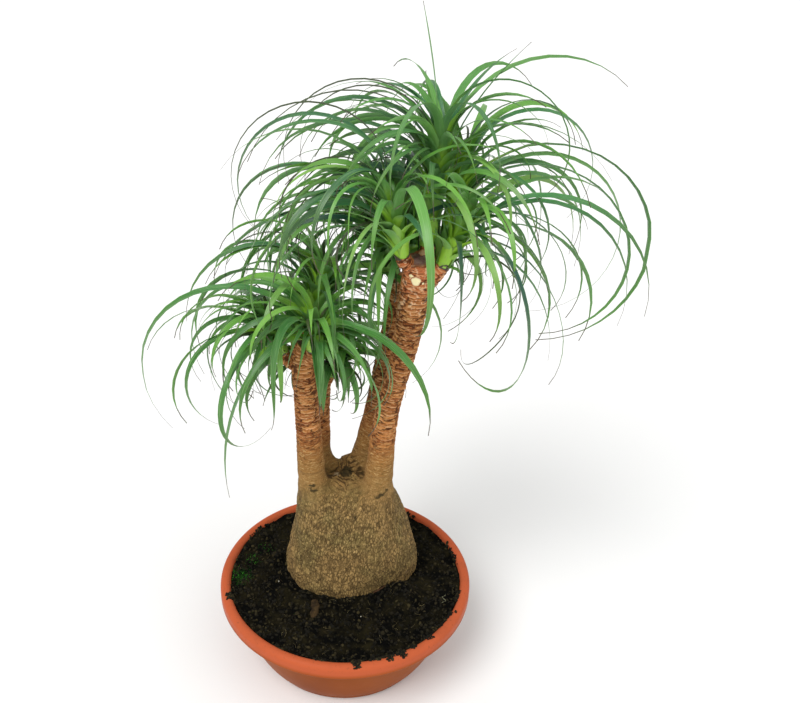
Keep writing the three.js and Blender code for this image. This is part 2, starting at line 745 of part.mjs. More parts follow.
function placeLeaf(shoot, leaf, chosen = false) {
  const line = leafLine(shoot, leaf);
  const beads = beadsOf(line, leaf.width, shoot.name, chosen);
  if (!chosen && line[line.length - 1].z < shoot.fan[2] - DEEPEST) return false;
  if (beads.some(({ p }) => touchesWood(p))) return false;
  const box = new THREE.Box3().setFromPoints(line).expandByScalar(SEARCH_MARGIN);
  const near = placedBeads.filter((bead) => box.containsPoint(bead.p));
  if (!isClear(beads, near)) return false;
  placedBeads.push(...beads);
  shoot.leaves.push({ ...leaf, line });
  return true;
}

SHOOTS.forEach((shoot) => {
  const { base, way, length } = shootAxis(shoot);
  for (let s = -COLLAR_RADIUS; s < length; s += BEAD_STEP) {
    const bead = { p: base.clone().addScaledVector(way, s), r: SHOOT_RADIUS + BUD_MARGIN };
    placedBeads.push({ ...bead, owner: shoot.name, crowded: true });
  }
});

OUTLINE_LEAVES.forEach(([name, azimuth, rise, bend, length, width, height = 0.7, drift = 0]) => {
  const shoot = SHOOTS.find((s) => s.name === name);
  placeLeaf(shoot, { azimuth, rise, bend, length, width, height, drift, twist: 0 }, true);
});

// The rest follow the shoot's spiral: old leaves low and long, young ones high, short and upright. The few
// that lean towards the viewer stay short, so the stems show.
for (let i = 0; i < LEAVES_PER_SHOOT; i += 1) {
  SHOOTS.forEach((shoot, order) => {
    const young = (i + 0.5) / LEAVES_PER_SHOOT;
    for (let attempt = 0; attempt < TRIES; attempt += 1) {
      const seed = 9176 * order + 131 * i + 7 * attempt;
      const spread = (k) => 2 * draw(seed + 100003 * k) - 1;
      const azimuth = 53 * order + GOLDEN_ANGLE * i + (6 + 4 * attempt) * spread(1);
      const inward = 0.5 - 0.5 * Math.cos((azimuth - shoot.facing) * DEG);
      const towards = Math.max(0, -Math.sin(azimuth * DEG)) ** 2;
      const rise = 24 + 58 * young + 22 * inward * (1 - young) + (8 + attempt) * spread(2);
      const endPitch = -140 + 90 * young + 30 * spread(3);
      const leaf = {
        azimuth,
        rise,
        bend: rise - endPitch,
        length: shoot.reach * (1 - 0.45 * young) * (0.84 + 0.2 * draw(seed + 17)) * (1 - 0.4 * towards),
        width: LEAF.width * (0.82 + 0.3 * draw(seed + 29)),
        height: 0.3 + 0.66 * young,
        drift: 30 * spread(4),
        twist: 35 * spread(5),
      };
      if (placeLeaf(shoot, leaf)) break;
    }
  });
}

function makeShoot(shoot) {
  return wasm.Manifold.union([makeBud(shoot), ...shoot.leaves.map(makeLeaf)]);
}

// Assembly

const palm = new THREE.Group();

function place(name, shape, finish) {
  const mesh = new THREE.Mesh(geometryOf(shape), FINISHES[finish]);
  mesh.name = name;
  palm.add(mesh);
}

place("pot", makePot(), "terracotta");
place("soil", makeSoil(), "peat");
place("trunk", wasm.Manifold.union([makeBark(), makeBudScar(), ...SHOOTS.map(makeCollar)]), "bark");
SHOOTS.forEach((shoot) => place(shoot.name, makeShoot(shoot), "leaf"));

export default palm;
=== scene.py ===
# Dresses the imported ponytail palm: its plastic bowl, the peat, the corky trunk and the strap-leaved shoots.
# Lengths are in millimetres until a mesh is made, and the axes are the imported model's.
import bpy
import math
import numpy as np
from mathutils import Matrix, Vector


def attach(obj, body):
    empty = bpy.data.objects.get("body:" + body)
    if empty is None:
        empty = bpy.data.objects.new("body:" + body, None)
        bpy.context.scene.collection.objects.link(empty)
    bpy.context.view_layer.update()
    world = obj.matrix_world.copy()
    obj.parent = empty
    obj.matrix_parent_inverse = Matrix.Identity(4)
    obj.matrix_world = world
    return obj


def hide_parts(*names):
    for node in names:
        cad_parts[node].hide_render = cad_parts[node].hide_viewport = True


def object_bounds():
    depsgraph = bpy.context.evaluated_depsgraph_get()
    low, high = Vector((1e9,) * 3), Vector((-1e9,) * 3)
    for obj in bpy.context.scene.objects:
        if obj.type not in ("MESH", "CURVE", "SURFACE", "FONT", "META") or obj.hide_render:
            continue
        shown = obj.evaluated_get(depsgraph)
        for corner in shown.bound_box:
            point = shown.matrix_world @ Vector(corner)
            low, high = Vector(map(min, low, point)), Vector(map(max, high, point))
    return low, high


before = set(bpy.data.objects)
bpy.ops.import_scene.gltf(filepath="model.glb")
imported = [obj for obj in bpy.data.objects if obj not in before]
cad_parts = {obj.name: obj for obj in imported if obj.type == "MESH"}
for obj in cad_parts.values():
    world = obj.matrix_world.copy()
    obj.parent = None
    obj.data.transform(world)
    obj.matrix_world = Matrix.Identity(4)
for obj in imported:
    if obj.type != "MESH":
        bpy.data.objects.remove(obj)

cad_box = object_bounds()

# The view: a camera at the photograph's angle, a plain pale floor, and soft studio light: an even white room
# with a broad sun from the upper left and a weaker one from the right. None of this is part of the plant.
VIEW = {"place": (0.0591, -1.0025, 1.0414), "down": 30.157, "roll": 2.477, "lens": 45.0, "sensor": 36.0}
FLOOR_HALF = 30.0
ROOM_STRENGTH = 0.6
# name, compass way it shines from, height, strength, how broad it is, all angles in degrees
SUNS = [("upper_left_sun", -128, 52, 2.0, 34), ("right_sun", -38, 40, 0.65, 60)]


def linear(hex_colour):
    """Turns an sRGB hex colour into the linear colour that a shader takes."""
    values = [int(hex_colour[i:i + 2], 16) / 255 for i in (1, 3, 5)]
    return (*[v / 12.92 if v <= 0.04045 else ((v + 0.055) / 1.055) ** 2.4 for v in values], 1.0)


def feed(node, inputs):
    """Sets a node's inputs. One given as a node or a socket is linked, and any other value is set."""
    for key, value in inputs.items():
        if isinstance(value, bpy.types.Node):
            value = next(socket for socket in value.outputs if socket.enabled)
        if isinstance(value, bpy.types.NodeSocket):
            node.id_data.links.new(value, node.inputs[key])
        else:
            node.inputs[key].default_value = value


def add_node(tree, kind, *inputs, **settings):
    """Adds a node with its settings. Inputs come in order, or in a dictionary by number or name."""
    node = tree.nodes.new(kind)
    for name, value in settings.items():
        setattr(node, name, value)
    for number, value in enumerate(inputs):
        feed(node, value if isinstance(value, dict) else {number: value})
    return node


def new_material(name):
    """Starts a material and gives back its tree and its shader."""
    material = bpy.data.materials.new(name)
    material.use_nodes = True
    return material, material.node_tree, material.node_tree.nodes["Principled BSDF"]


def show(name, data):
    """Puts a mesh, a camera or a lamp in the scene under a name, at the origin."""
    piece = bpy.data.objects.new(name, data)
    bpy.context.scene.collection.objects.link(piece)
    return piece


camera_data = bpy.data.cameras.new("photo_camera")
camera_data.lens = VIEW["lens"]
camera_data.sensor_width = VIEW["sensor"]
camera_data.clip_start = 0.01
camera_data.clip_end = 200
camera = show("photo_camera", camera_data)
tilt = Matrix.Rotation(math.radians(90 - VIEW["down"]), 4, "X")
roll = Matrix.Rotation(math.radians(VIEW["roll"]), 4, "Z")
camera.matrix_world = Matrix.Translation(VIEW["place"]) @ tilt @ roll
bpy.context.scene.camera = camera

floor_mesh = bpy.data.meshes.new("studio_floor")
corners = [(x * FLOOR_HALF, y * FLOOR_HALF, 0) for x, y in [(-1, -1), (1, -1), (1, 1), (-1, 1)]]
floor_mesh.from_pydata(corners, [], [(0, 1, 2, 3)])
floor = show("studio_floor", floor_mesh)
paper, _, shader = new_material("matte white paper sweep")
feed(shader, {"Base Color": linear("#f4f4f3"), "Roughness": 0.95})
floor_mesh.materials.append(paper)

world = bpy.data.worlds.new("soft studio")
world.use_nodes = True
feed(world.node_tree.nodes["Background"], {"Color": linear("#ffffff"), "Strength": ROOM_STRENGTH})
bpy.context.scene.world = world
bpy.context.scene.view_settings.view_transform = "Standard"
for name, compass, height, strength, breadth in SUNS:
    sun_data = bpy.data.lights.new(name, "SUN")
    sun_data.energy = strength
    sun_data.angle = math.radians(breadth)
    sun = show(name, sun_data)
    turned = Matrix.Rotation(math.radians(compass + 90), 4, "Z")
    sun.matrix_world = turned @ Matrix.Rotation(math.radians(90 - height), 4, "X")

# The bowl: injection-moulded polypropylene with terracotta pigment. It has a full curved wall, a rolled rim
# that stands out over a neck, and drain holes in a flat floor.
MM = 0.001
BOWL = {"rim": 165.0, "height": 115.0, "wall": 3.0, "floor": 4.0, "foot": 103.0, "corner": 113.0}
BOWL_CORNER_HEIGHT = 7.0
BOWL_NECK = {"radius": 150.0, "height": 95.0, "mouth": 152.0, "fullness": 0.72, "undercut": 0.8}
BOWL_SEGMENTS = 180
DRAIN = {"count": 6, "radius": 5.0, "circle": 62.0, "segments": 24}
# the wall, darker as painted shade, its darker and paler flow marks, the rim, lighter as a painted highlight,
# and soil dust
TERRACOTTA = {"wall": "#8c4513", "dark": "#7d3b0e", "pale": "#944c1a", "rim": "#c05d3b", "dust": "#4d3a2a"}


def wall_radius(z):
    """Outer radius of the bowl's wall at a height, from its corner up to the neck."""
    share = np.clip((z - BOWL_CORNER_HEIGHT) / (BOWL_NECK["height"] - BOWL_CORNER_HEIGHT), 0, 1)
    return BOWL["corner"] + (BOWL_NECK["radius"] - BOWL["corner"]) * share ** BOWL_NECK["fullness"]


def arc(middle, radius, start, end, count):
    """Points of a round corner in a profile, from one angle to another, in degrees."""
    angles = np.radians(np.linspace(start, end, count))
    return [(middle[0] + radius * math.cos(a), middle[1] + radius * math.sin(a)) for a in angles]


def full_turn(segments):
    """Angles once round, in even steps."""
    return np.arange(segments) / segments * 2 * np.pi


def turned_rings(profile, segments):
    """Rings of points from a profile of radius and height, one ring for each profile point."""
    profile = np.array(profile, float)
    x = profile[:, :1] * np.cos(full_turn(segments))
    y = profile[:, :1] * np.sin(full_turn(segments))
    return np.stack([x, y, np.repeat(profile[:, 1:], segments, axis=1)], axis=2)


def ring_faces(count, segments, first=0):
    """Quads between neighbouring rings of points."""
    low = first + np.arange(count - 1)[:, None] * segments + np.arange(segments)[None, :]
    turn = first + np.arange(count - 1)[:, None] * segments + (np.arange(segments)[None, :] + 1) % segments
    return np.stack([low, turn, turn + segments, low + segments], axis=2).reshape(-1, 4).tolist()


def new_mesh(name, points, faces, edges=(), smooth=True, **marks):
    """A mesh from points in millimetres, with named values for each point."""
    mesh = bpy.data.meshes.new(name)
    mesh.from_pydata((np.array(points) * MM).tolist(), edges, faces)
    if smooth:
        mesh.polygons.foreach_set("use_smooth", [True] * len(mesh.polygons))
    for mark, values in marks.items():
        values = np.array(values, float)
        kind, field = ("FLOAT_VECTOR", "vector") if values.ndim == 2 else ("FLOAT", "value")
        mesh.attributes.new(mark, kind, "POINT").data.foreach_set(field, values.ravel())
    return mesh


def closed_skin(name, rings, low_middle, high_middle, outward=True, **marks):
    """A closed mesh from rings that run upwards outside, or inside, with a middle point at each end."""
    count, segments = rings.shape[:2]
    points = np.vstack([rings.reshape(-1, 3), [low_middle, high_middle]])
    faces = ring_faces(count, segments)
    low = count * segments
    last = (count - 1) * segments
    for i in range(segments):
        after = (i + 1) % segments
        faces += [(after, i, low), (last + i, last + after, low + 1)]
    return new_mesh(name, points, faces if outward else [face[::-1] for face in faces], **marks)


outer_heights = np.linspace(BOWL_CORNER_HEIGHT, BOWL_NECK["height"] - BOWL_NECK["undercut"], 18)
inner_heights = np.linspace(BOWL_NECK["height"] + 6, BOWL["floor"] + 5, 14)
rim_edge = BOWL["rim"] - 3
mouth, neck, rim = BOWL_NECK["mouth"], BOWL_NECK["height"], BOWL["height"]
bowl_profile = [
    (BOWL["foot"] - 2, 0.0), (BOWL["foot"], 0.0),
    *arc((BOWL["corner"] - 7, BOWL_CORNER_HEIGHT), 7, -80, 0, 7),
    *[(float(wall_radius(z)), z) for z in outer_heights[1:]],
    (BOWL_NECK["radius"] + 0.8, neck - 0.1), (rim_edge - 1, neck + 0.1),
    *arc((rim_edge, neck + 3.2), 3, -70, 0, 6),
    (BOWL["rim"], rim - 10),
    *arc((BOWL["rim"] - 7, rim - 7), 7, 0, 100, 11),
    (mouth + 2.5, rim - 1), (mouth + 0.6, rim - 3), (mouth, rim - 6),
    *[(float(wall_radius(z)) - BOWL["wall"], z) for z in inner_heights],
    (BOWL["corner"] - 6, BOWL["floor"] + 2), (BOWL["foot"] - 3, BOWL["floor"]),
]
bowl_mesh = closed_skin("bowl", turned_rings(bowl_profile, BOWL_SEGMENTS), (0, 0, 0), (0, 0, BOWL["floor"]))
bowl_blank = show("bowl_blank", bowl_mesh)

drain_points = []
drain_faces = []
segments = DRAIN["segments"]
for turn in full_turn(DRAIN["count"]):
    hole = turned_rings(
        [(DRAIN["radius"], -3), (DRAIN["radius"], BOWL["floor"] + 3)], segments
    ).reshape(-1, 3)
    first = len(drain_points)
    drain_points += (hole + [DRAIN["circle"] * math.cos(turn), DRAIN["circle"] * math.sin(turn), 0]).tolist()
    drain_faces += ring_faces(2, segments, first)
    drain_faces.append([first + segments - 1 - i for i in range(segments)])
    drain_faces.append([first + segments + i for i in range(segments)])
drain_cutter = show("drain_cutter", new_mesh("drain_cutter", drain_points, drain_faces, smooth=False))
drilling = bowl_blank.modifiers.new("drill", "BOOLEAN")
drilling.object = drain_cutter
drilling.operation = "DIFFERENCE"
drilling.solver = "EXACT"


def finished_copy(name, source):
    """Turns an object with modifiers into a plain piece and takes the source away."""
    evaluated = source.evaluated_get(bpy.context.evaluated_depsgraph_get())
    mesh = bpy.data.meshes.new_from_object(evaluated)
    bpy.data.objects.remove(source)
    mesh.name = name
    return show(name, mesh)


bowl = finished_copy("plastic_bowl", bowl_blank)
bpy.data.objects.remove(drain_cutter)
bowl.data.set_sharp_from_angle(angle=math.radians(50))

# Moulded polypropylene: an even satin skin that shows soft highlights on the rim, with faint flow marks in
# the pigment, and soil dust on the rim where the bowl was filled. The rim's colour is a painted highlight,
# lighter than the wall, and the wall and the rim's lower band keep a darker colour as painted shade.
plastic, tree, shader = new_material("moulded terracotta polypropylene")
place = add_node(tree, "ShaderNodeTexCoord").outputs["Object"]
flow = add_node(tree, "ShaderNodeTexNoise", {"Vector": place, "Scale": 9.0, "Detail": 4.0})
pigment = add_node(tree, "ShaderNodeValToRGB", flow)
pigment.color_ramp.elements[0].position = 0.32
pigment.color_ramp.elements[0].color = linear(TERRACOTTA["dark"])
pigment.color_ramp.elements[1].position = 0.7
pigment.color_ramp.elements[1].color = linear(TERRACOTTA["pale"])
middle_tone = pigment.color_ramp.elements.new(0.5)
middle_tone.color = linear(TERRACOTTA["wall"])
height = add_node(tree, "ShaderNodeSeparateXYZ", place)
# painted highlight: the rim's lighter colour fades in up its outer face, so the rim's lower band and the wall
# keep the darker colour as painted shade
painted_rim_light = {"Value": height.outputs["Z"], "From Min": 0.096, "From Max": 0.1035, "To Max": 0.85}
painted_rim_light = add_node(tree, "ShaderNodeMapRange", painted_rim_light)
pigment = add_node(
    tree, "ShaderNodeMix", {0: painted_rim_light, 6: pigment, 7: linear(TERRACOTTA["rim"])}, data_type="RGBA"
)
specks = add_node(
    tree, "ShaderNodeTexNoise", {"Vector": place, "Scale": 260.0, "Detail": 3.0, "Roughness": 0.7}
)
smudge = add_node(
    tree, "ShaderNodeTexNoise", {"Vector": place, "Scale": 24.0, "Detail": 5.0, "Roughness": 0.65}
)
rim_share = {"Value": height.outputs["Z"], "From Min": 0.104, "From Max": 0.114, "To Min": 0.25}
near_rim = add_node(tree, "ShaderNodeMapRange", rim_share)
speck_mask = add_node(tree, "ShaderNodeMapRange", specks, 0.62, 0.7)
smudge_mask = add_node(tree, "ShaderNodeMapRange", smudge, 0.5, 0.8, 0.0, 0.5)
dirt = add_node(tree, "ShaderNodeMath", speck_mask, smudge_mask, operation="MAXIMUM")
dirt = add_node(tree, "ShaderNodeMath", dirt, near_rim, operation="MULTIPLY")
dirt = add_node(tree, "ShaderNodeMath", dirt, 0.5, operation="MULTIPLY")
dusty = add_node(
    tree, "ShaderNodeMix", {0: dirt, 6: pigment, 7: linear(TERRACOTTA["dust"])}, data_type="RGBA"
)
satin = add_node(tree, "ShaderNodeMapRange", smudge, 0.0, 1.0, 0.3, 0.5)
skin = add_node(tree, "ShaderNodeTexNoise", {"Vector": place, "Scale": 420.0, "Detail": 2.0})
grain = add_node(tree, "ShaderNodeBump", {"Strength": 0.12, "Distance": 0.0004, "Height": skin})
feed(
    shader,
    {"Base Color": dusty, "Roughness": satin, "Normal": grain, "IOR": 1.49, "Specular IOR Level": 0.04},
)
bowl.data.materials.clear()
bowl.data.materials.append(plastic)
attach(bowl, "root")
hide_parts("pot")

# The palm's skin: one corky body with a swollen foot and four stems that flow into each other. Its form is a
# rule that gives how far a point lies outside the skin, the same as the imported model's.
CENTRE_Y = 24.0
# height, centre x, half width across, half width front to back
FOOT = [
    (60, 8, 66, 50), (92, 8, 82, 61), (124, 7.5, 88, 66), (160, 6.5, 81, 61), (195, 6, 71, 52),
    (220, 4, 64, 45), (250, 0, 56, 36),
]
FOOT_TOP = 258.0
FOOT_ROUNDING = 36.0
FOOT_EDGE = 250.0
DENT = {"facing": -50.0, "spread": 30.0, "depth": 13.0, "up_to": 175.0, "fade": 70.0}
SWELLINGS = {"height": 1.6, "up_to": 270.0, "fade": 120.0, "x": (0.085, 0.05, 0), "y": (0.1, -0.035, 1)}
BLEND = 22.0
# how far a ray from the middle of the foot or of a stem goes to find the skin, and in what steps
RAY = {"foot": 140, "stem": 45, "step": 2, "halvings": 14}
SETTLING = {"rounds": 4, "probe": 0.1, "least_slope": 0.2}
# facing, slope of the cut top, rows of height, x, y and radius
STEMS = {
    "front_right": (-45, (0.1, 0.1), [
        (190, 34, 4, 24), (235, 37, 1, 20), (273, 39, 0, 18), (339, 43, 0, 15.2), (386, 48.5, 0, 14.1),
        (435, 59, 0, 14), (480, 66.5, -2, 15.4), (548, 74, -4, 17.5), (580, 77, -5, 16.5),
    ]),
    "back_right": (45, (0, 0.1), [
        (190, 14, 42, 22), (240, 16, 47, 19), (274, 19, 50, 17), (303, 24.5, 50.5, 15.8), (351, 33, 52, 14),
        (401, 40, 55, 13.2), (460, 49, 60, 12.8), (524, 57, 61, 13),
    ]),
    "back_left": (135, (0.15, 0), [
        (190, -33, 42, 22), (240, -36, 48, 17), (271, -38, 50, 14.6), (300, -40, 50, 14.3),
        (348, -40, 50, 13.7), (388, -38.5, 50, 13.5),
    ]),
    "front_left": (225, (-1.15, 0), [
        (190, -37, 5, 25), (235, -41.5, 1, 20), (268, -44, 0, 17.6), (307, -46, 0, 16.4),
        (382, -50, -2, 14.1), (431, -52.5, -3, 13.9), (468, -54, -3.5, 13),
    ]),
}
STEM_START = 290.0
# the height where the leaf scars begin to show
SCARS_FROM = {"front_left": 286, "front_right": 286, "back_left": 262, "back_right": 286}


def read_rows(rows, height):
    """A smooth curve through rows of height and values, read at any heights."""
    rows = np.array(rows, float)
    z = rows[:, 0]
    values = rows[:, 1:]
    height = np.clip(np.asarray(height, float), z[0], z[-1])
    order = np.arange(len(z))
    below = np.maximum(order - 1, 0)
    above = np.minimum(order + 1, len(z) - 1)
    slope = (values[above] - values[below]) / (z[above] - z[below])[:, None]
    i = np.clip(np.searchsorted(z, height, side="right") - 1, 0, len(z) - 2)
    span = (z[i + 1] - z[i])[..., None]
    t = (height - z[i])[..., None] / span
    start = values[i] * (2 * t ** 3 - 3 * t ** 2 + 1) + slope[i] * span * (t ** 3 - 2 * t ** 2 + t)
    return start + values[i + 1] * (3 * t ** 2 - 2 * t ** 3) + slope[i + 1] * span * (t ** 3 - t ** 2)


def foot_distance(p):
    """How far points lie outside the swollen foot."""
    cx, ax, ay = np.moveaxis(read_rows(FOOT, p[..., 2]), -1, 0)
    x = p[..., 0] - cx
    y = p[..., 1] - CENTRE_Y
    turn = (np.degrees(np.arctan2(y, x)) - DENT["facing"]) / DENT["spread"]
    fade = np.clip((DENT["up_to"] - p[..., 2]) / DENT["fade"], 0, 1)
    dent = DENT["depth"] * np.exp(-turn ** 2) * fade ** 2 * (3 - 2 * fade)
    beside = (np.hypot(x / ax, y / ay) - 1) * np.minimum(ax, ay) + dent
    above = p[..., 2] - FOOT_TOP
    h = np.maximum(FOOT_ROUNDING - np.abs(beside - above), 0) / FOOT_ROUNDING
    return np.maximum(beside, above) + h * h * FOOT_ROUNDING / 4


def foot_middle(z):
    """The middle of the foot at a height."""
    return np.array([read_rows(FOOT, z)[0], CENTRE_Y, z])


def stem_distance(stem, p):
    """How far points lie outside one stem."""
    cx, cy, radius = np.moveaxis(read_rows(STEMS[stem][2], p[..., 2]), -1, 0)
    return np.hypot(p[..., 0] - cx, p[..., 1] - cy) - radius


def bark_distance(p):
    """How far points lie outside the whole skin, with the foot's shallow swellings."""
    skin_gap = foot_distance(p)
    for stem in STEMS:
        other = stem_distance(stem, p)
        h = np.maximum(BLEND - np.abs(skin_gap - other), 0) / BLEND
        skin_gap = np.minimum(skin_gap, other) - h * h * BLEND / 4
    low = np.clip((SWELLINGS["up_to"] - p[..., 2]) / SWELLINGS["fade"], 0, 1)
    across, up, start = SWELLINGS["x"]
    wave = np.sin(p[..., 0] * across + p[..., 2] * up + start)
    across, up, start = SWELLINGS["y"]
    wave = wave * np.sin(p[..., 1] * across + p[..., 2] * up + start)
    return skin_gap - SWELLINGS["height"] * low * wave


def skin_points(middle, ways, reach):
    """Where rays from inside the wood meet the skin."""
    near = np.zeros(len(ways))
    found = np.zeros(len(ways), bool)
    for step in np.arange(RAY["step"], reach, RAY["step"]):
        outside = bark_distance(middle + ways * step) >= 0
        near[outside & ~found] = step - RAY["step"]
        found |= outside
        if found.all():
            break
    far = near + RAY["step"]
    for _ in range(RAY["halvings"]):
        half = (near + far) / 2
        inside = bark_distance(middle + ways * half[:, None]) < 0
        near = np.where(inside, half, near)
        far = np.where(inside, far, half)
    return middle + ways * near[:, None]


def settle(points):
    """Moves points onto the skin along the steepest way."""
    points = points.copy()
    probe = SETTLING["probe"]
    for _ in range(SETTLING["rounds"]):
        here = bark_distance(points)
        slope = [(bark_distance(points + probe * axis) - here) / probe for axis in np.eye(3)]
        slope = np.stack(slope, axis=1)
        steep = np.maximum((slope ** 2).sum(axis=1), SETTLING["least_slope"])
        points -= slope * (here / steep)[:, None]
    return points


# The trunk's fine mesh. Rings climb the foot to the fork, four arms cross over the fork, and each stem goes
# on from a quarter of the foot's last ring and two arms. Its cut end closes it.
QUARTER = 56
ARM = 10
RING = QUARTER + 2 * ARM
FORK_X = -4.0
FORK_RINGS = 18
FORK_DROP = {"step": 0.25, "most": 240}
STEM_PITCH = 1.0
SLANT_BAND = 16.0
CUT_RINGS = (0.93, 0.82, 0.66, 0.48, 0.3, 0.14)
# The scars are laid out on straightened stems of one radius, which stand well apart from each other
STRAIGHT = {"radius": 15.0, "stems_apart": 400, "collars_apart": 90}
SCARS_GROW_OVER = 75
foot_levels = np.concatenate([[60, 72, 84, 94], np.arange(101, FOOT_EDGE, 1.7), [FOOT_EDGE]])

bark_points = []
bark_faces = []
straightened = []
scar_share = []
cut_share = []


def add_ring(points, straight=None, scarred=0.0, cut=0.0):
    """Keeps a ring of bark points with what the finish needs to know, and gives back their numbers."""
    first = len(bark_points)
    bark_points.extend(points.tolist())
    straightened.extend((points if straight is None else straight).tolist())
    scar_share.extend([scarred] * len(points))
    cut_share.extend([cut] * len(points))
    return list(range(first, first + len(points)))


def join_rings(lower, upper):
    """Quads between two rings of point numbers."""
    for j in range(len(lower)):
        after = (j + 1) % len(lower)
        bark_faces.append((lower[j], lower[after], upper[after], upper[j]))


foot_angles = np.radians(np.arange(4 * QUARTER) / QUARTER * 90 - 90)
foot_ways = np.stack([np.cos(foot_angles), np.sin(foot_angles), np.zeros(4 * QUARTER)], axis=1)
foot_rings = []
for z in foot_levels:
    foot_rings.append(add_ring(skin_points(foot_middle(z), foot_ways, RAY["foot"])))
for lower, upper in zip(foot_rings, foot_rings[1:]):
    join_rings(lower, upper)
(foot_base,) = add_ring(np.array([[FOOT[0][1], CENTRE_Y, foot_levels[0]]]))
for j in range(4 * QUARTER):
    bark_faces.append((foot_rings[0][(j + 1) % (4 * QUARTER)], foot_rings[0][j], foot_base))


def over_fork(x, y):
    """Drops points from above until they meet the skin between the stems."""
    z = np.full(len(x), FOOT_TOP + BLEND)
    for _ in range(FORK_DROP["most"]):
        outside = bark_distance(np.stack([x, y, z], axis=1)) > 0
        if not outside.any():
            break
        z = np.where(outside, z - FORK_DROP["step"], z)
    return np.stack([x, y, z], axis=1)


edge_ring = foot_rings[-1]
(fork_middle,) = add_ring(over_fork(np.array([FORK_X]), np.array([CENTRE_Y])))
share = np.arange(1, ARM) / ARM
arms = []
for q in range(4):
    start = bark_points[edge_ring[q * QUARTER]]
    x = start[0] + (FORK_X - start[0]) * share
    y = start[1] + (CENTRE_Y - start[1]) * share
    arms.append(add_ring(over_fork(x, y)))

for q, (stem, (facing, slope, rows)) in enumerate(STEMS.items()):
    quarter = [edge_ring[(q * QUARTER + i) % (4 * QUARTER)] for i in range(QUARTER + 1)]
    split = quarter + arms[(q + 1) % 4] + [fork_middle] + arms[q][::-1]
    turn = np.radians(facing + (np.arange(RING) - QUARTER / 2) * 360 / RING)
    top = rows[-1][0]
    levels = np.linspace(STEM_START, top, round((top - STEM_START) / STEM_PITCH) + 1)
    top_x, top_y, _ = read_rows(rows, top)

    def stem_ring(z):
        cx, cy, _ = read_rows(rows, z)
        lean = (read_rows(rows, z + 6) - read_rows(rows, z - 6))[:2] / 12
        ways = np.stack(
            [np.cos(turn), np.sin(turn), -(np.cos(turn) * lean[0] + np.sin(turn) * lean[1])], axis=1
        )
        ways /= np.linalg.norm(ways, axis=1)[:, None]
        return skin_points(np.array([cx, cy, z]), ways, RAY["stem"])

    first_ring = stem_ring(STEM_START)
    split_points = np.array([bark_points[i] for i in split])
    below = split
    for k in range(1, FORK_RINGS):
        ring = add_ring(settle(split_points + (first_ring - split_points) * k / FORK_RINGS))
        join_rings(below, ring)
        below = ring
    for z in levels:
        points = stem_ring(z)
        rise = np.clip((z - top + SLANT_BAND) / SLANT_BAND, 0, 1)
        slant = top + slope[0] * (points[:, 0] - top_x) + slope[1] * (points[:, 1] - top_y) - z
        points[:, 2] += np.where(z > top - SLANT_BAND, rise * (slant + z - top), 0)
        straight_x = STRAIGHT["radius"] * np.cos(turn) + STRAIGHT["stems_apart"] * q
        straight = np.stack([straight_x, STRAIGHT["radius"] * np.sin(turn), np.full(RING, z)], axis=1)
        grown = np.clip((z - SCARS_FROM[stem]) / SCARS_GROW_OVER, 0, 1)
        ring = add_ring(points, straight, grown * grown * (3 - 2 * grown))
        join_rings(below, ring)
        below = ring
    rim_points = points
    tip_point = np.array([top_x, top_y, top + 1.5])
    for inner in CUT_RINGS:
        cut_points = tip_point + (rim_points - tip_point) * inner
        ring = add_ring(cut_points, cut_points, 0.0, min(1.0, (1 - inner) / 0.4))
        join_rings(below, ring)
        below = ring
    (tip,) = add_ring(tip_point[None, :], tip_point[None, :], 0.0, 1.0)
    for j in range(RING):
        bark_faces.append((below[j], below[(j + 1) % RING], tip))

bark_marks = {"straight": np.array(straightened) * MM, "scarred": scar_share, "cut": cut_share}
bark_blank = show("bark_blank", new_mesh("bark_skin", bark_points, bark_faces, **bark_marks))

# The bark's relief. Fallen leaves have left overlapping crescents up the stems, about 4 mm apart. Lower down
# the swelling wood has stretched them away, and the fork holds an old knot in gnarled wood.
RELIEF = {
    "Scar Height": 0.0038,
    "Scar Width": 0.023,
    "Scar Depth": 0.0017,
    "Lump Size": 0.020,
    "Lump Depth": 0.0030,
    "Furrow Width": 0.0060,
    "Furrow Length": 0.019,
    "Furrow Depth": 0.0009,
    "Fold Spacing": 0.0042,
    "Fold Depth": 0.0034,
    "Seed": 4.0,
}
# the knot's place, and how far from it the folds are full and gone
KNOT = (-3, 20, 268)
GNARLED = (11, 34)
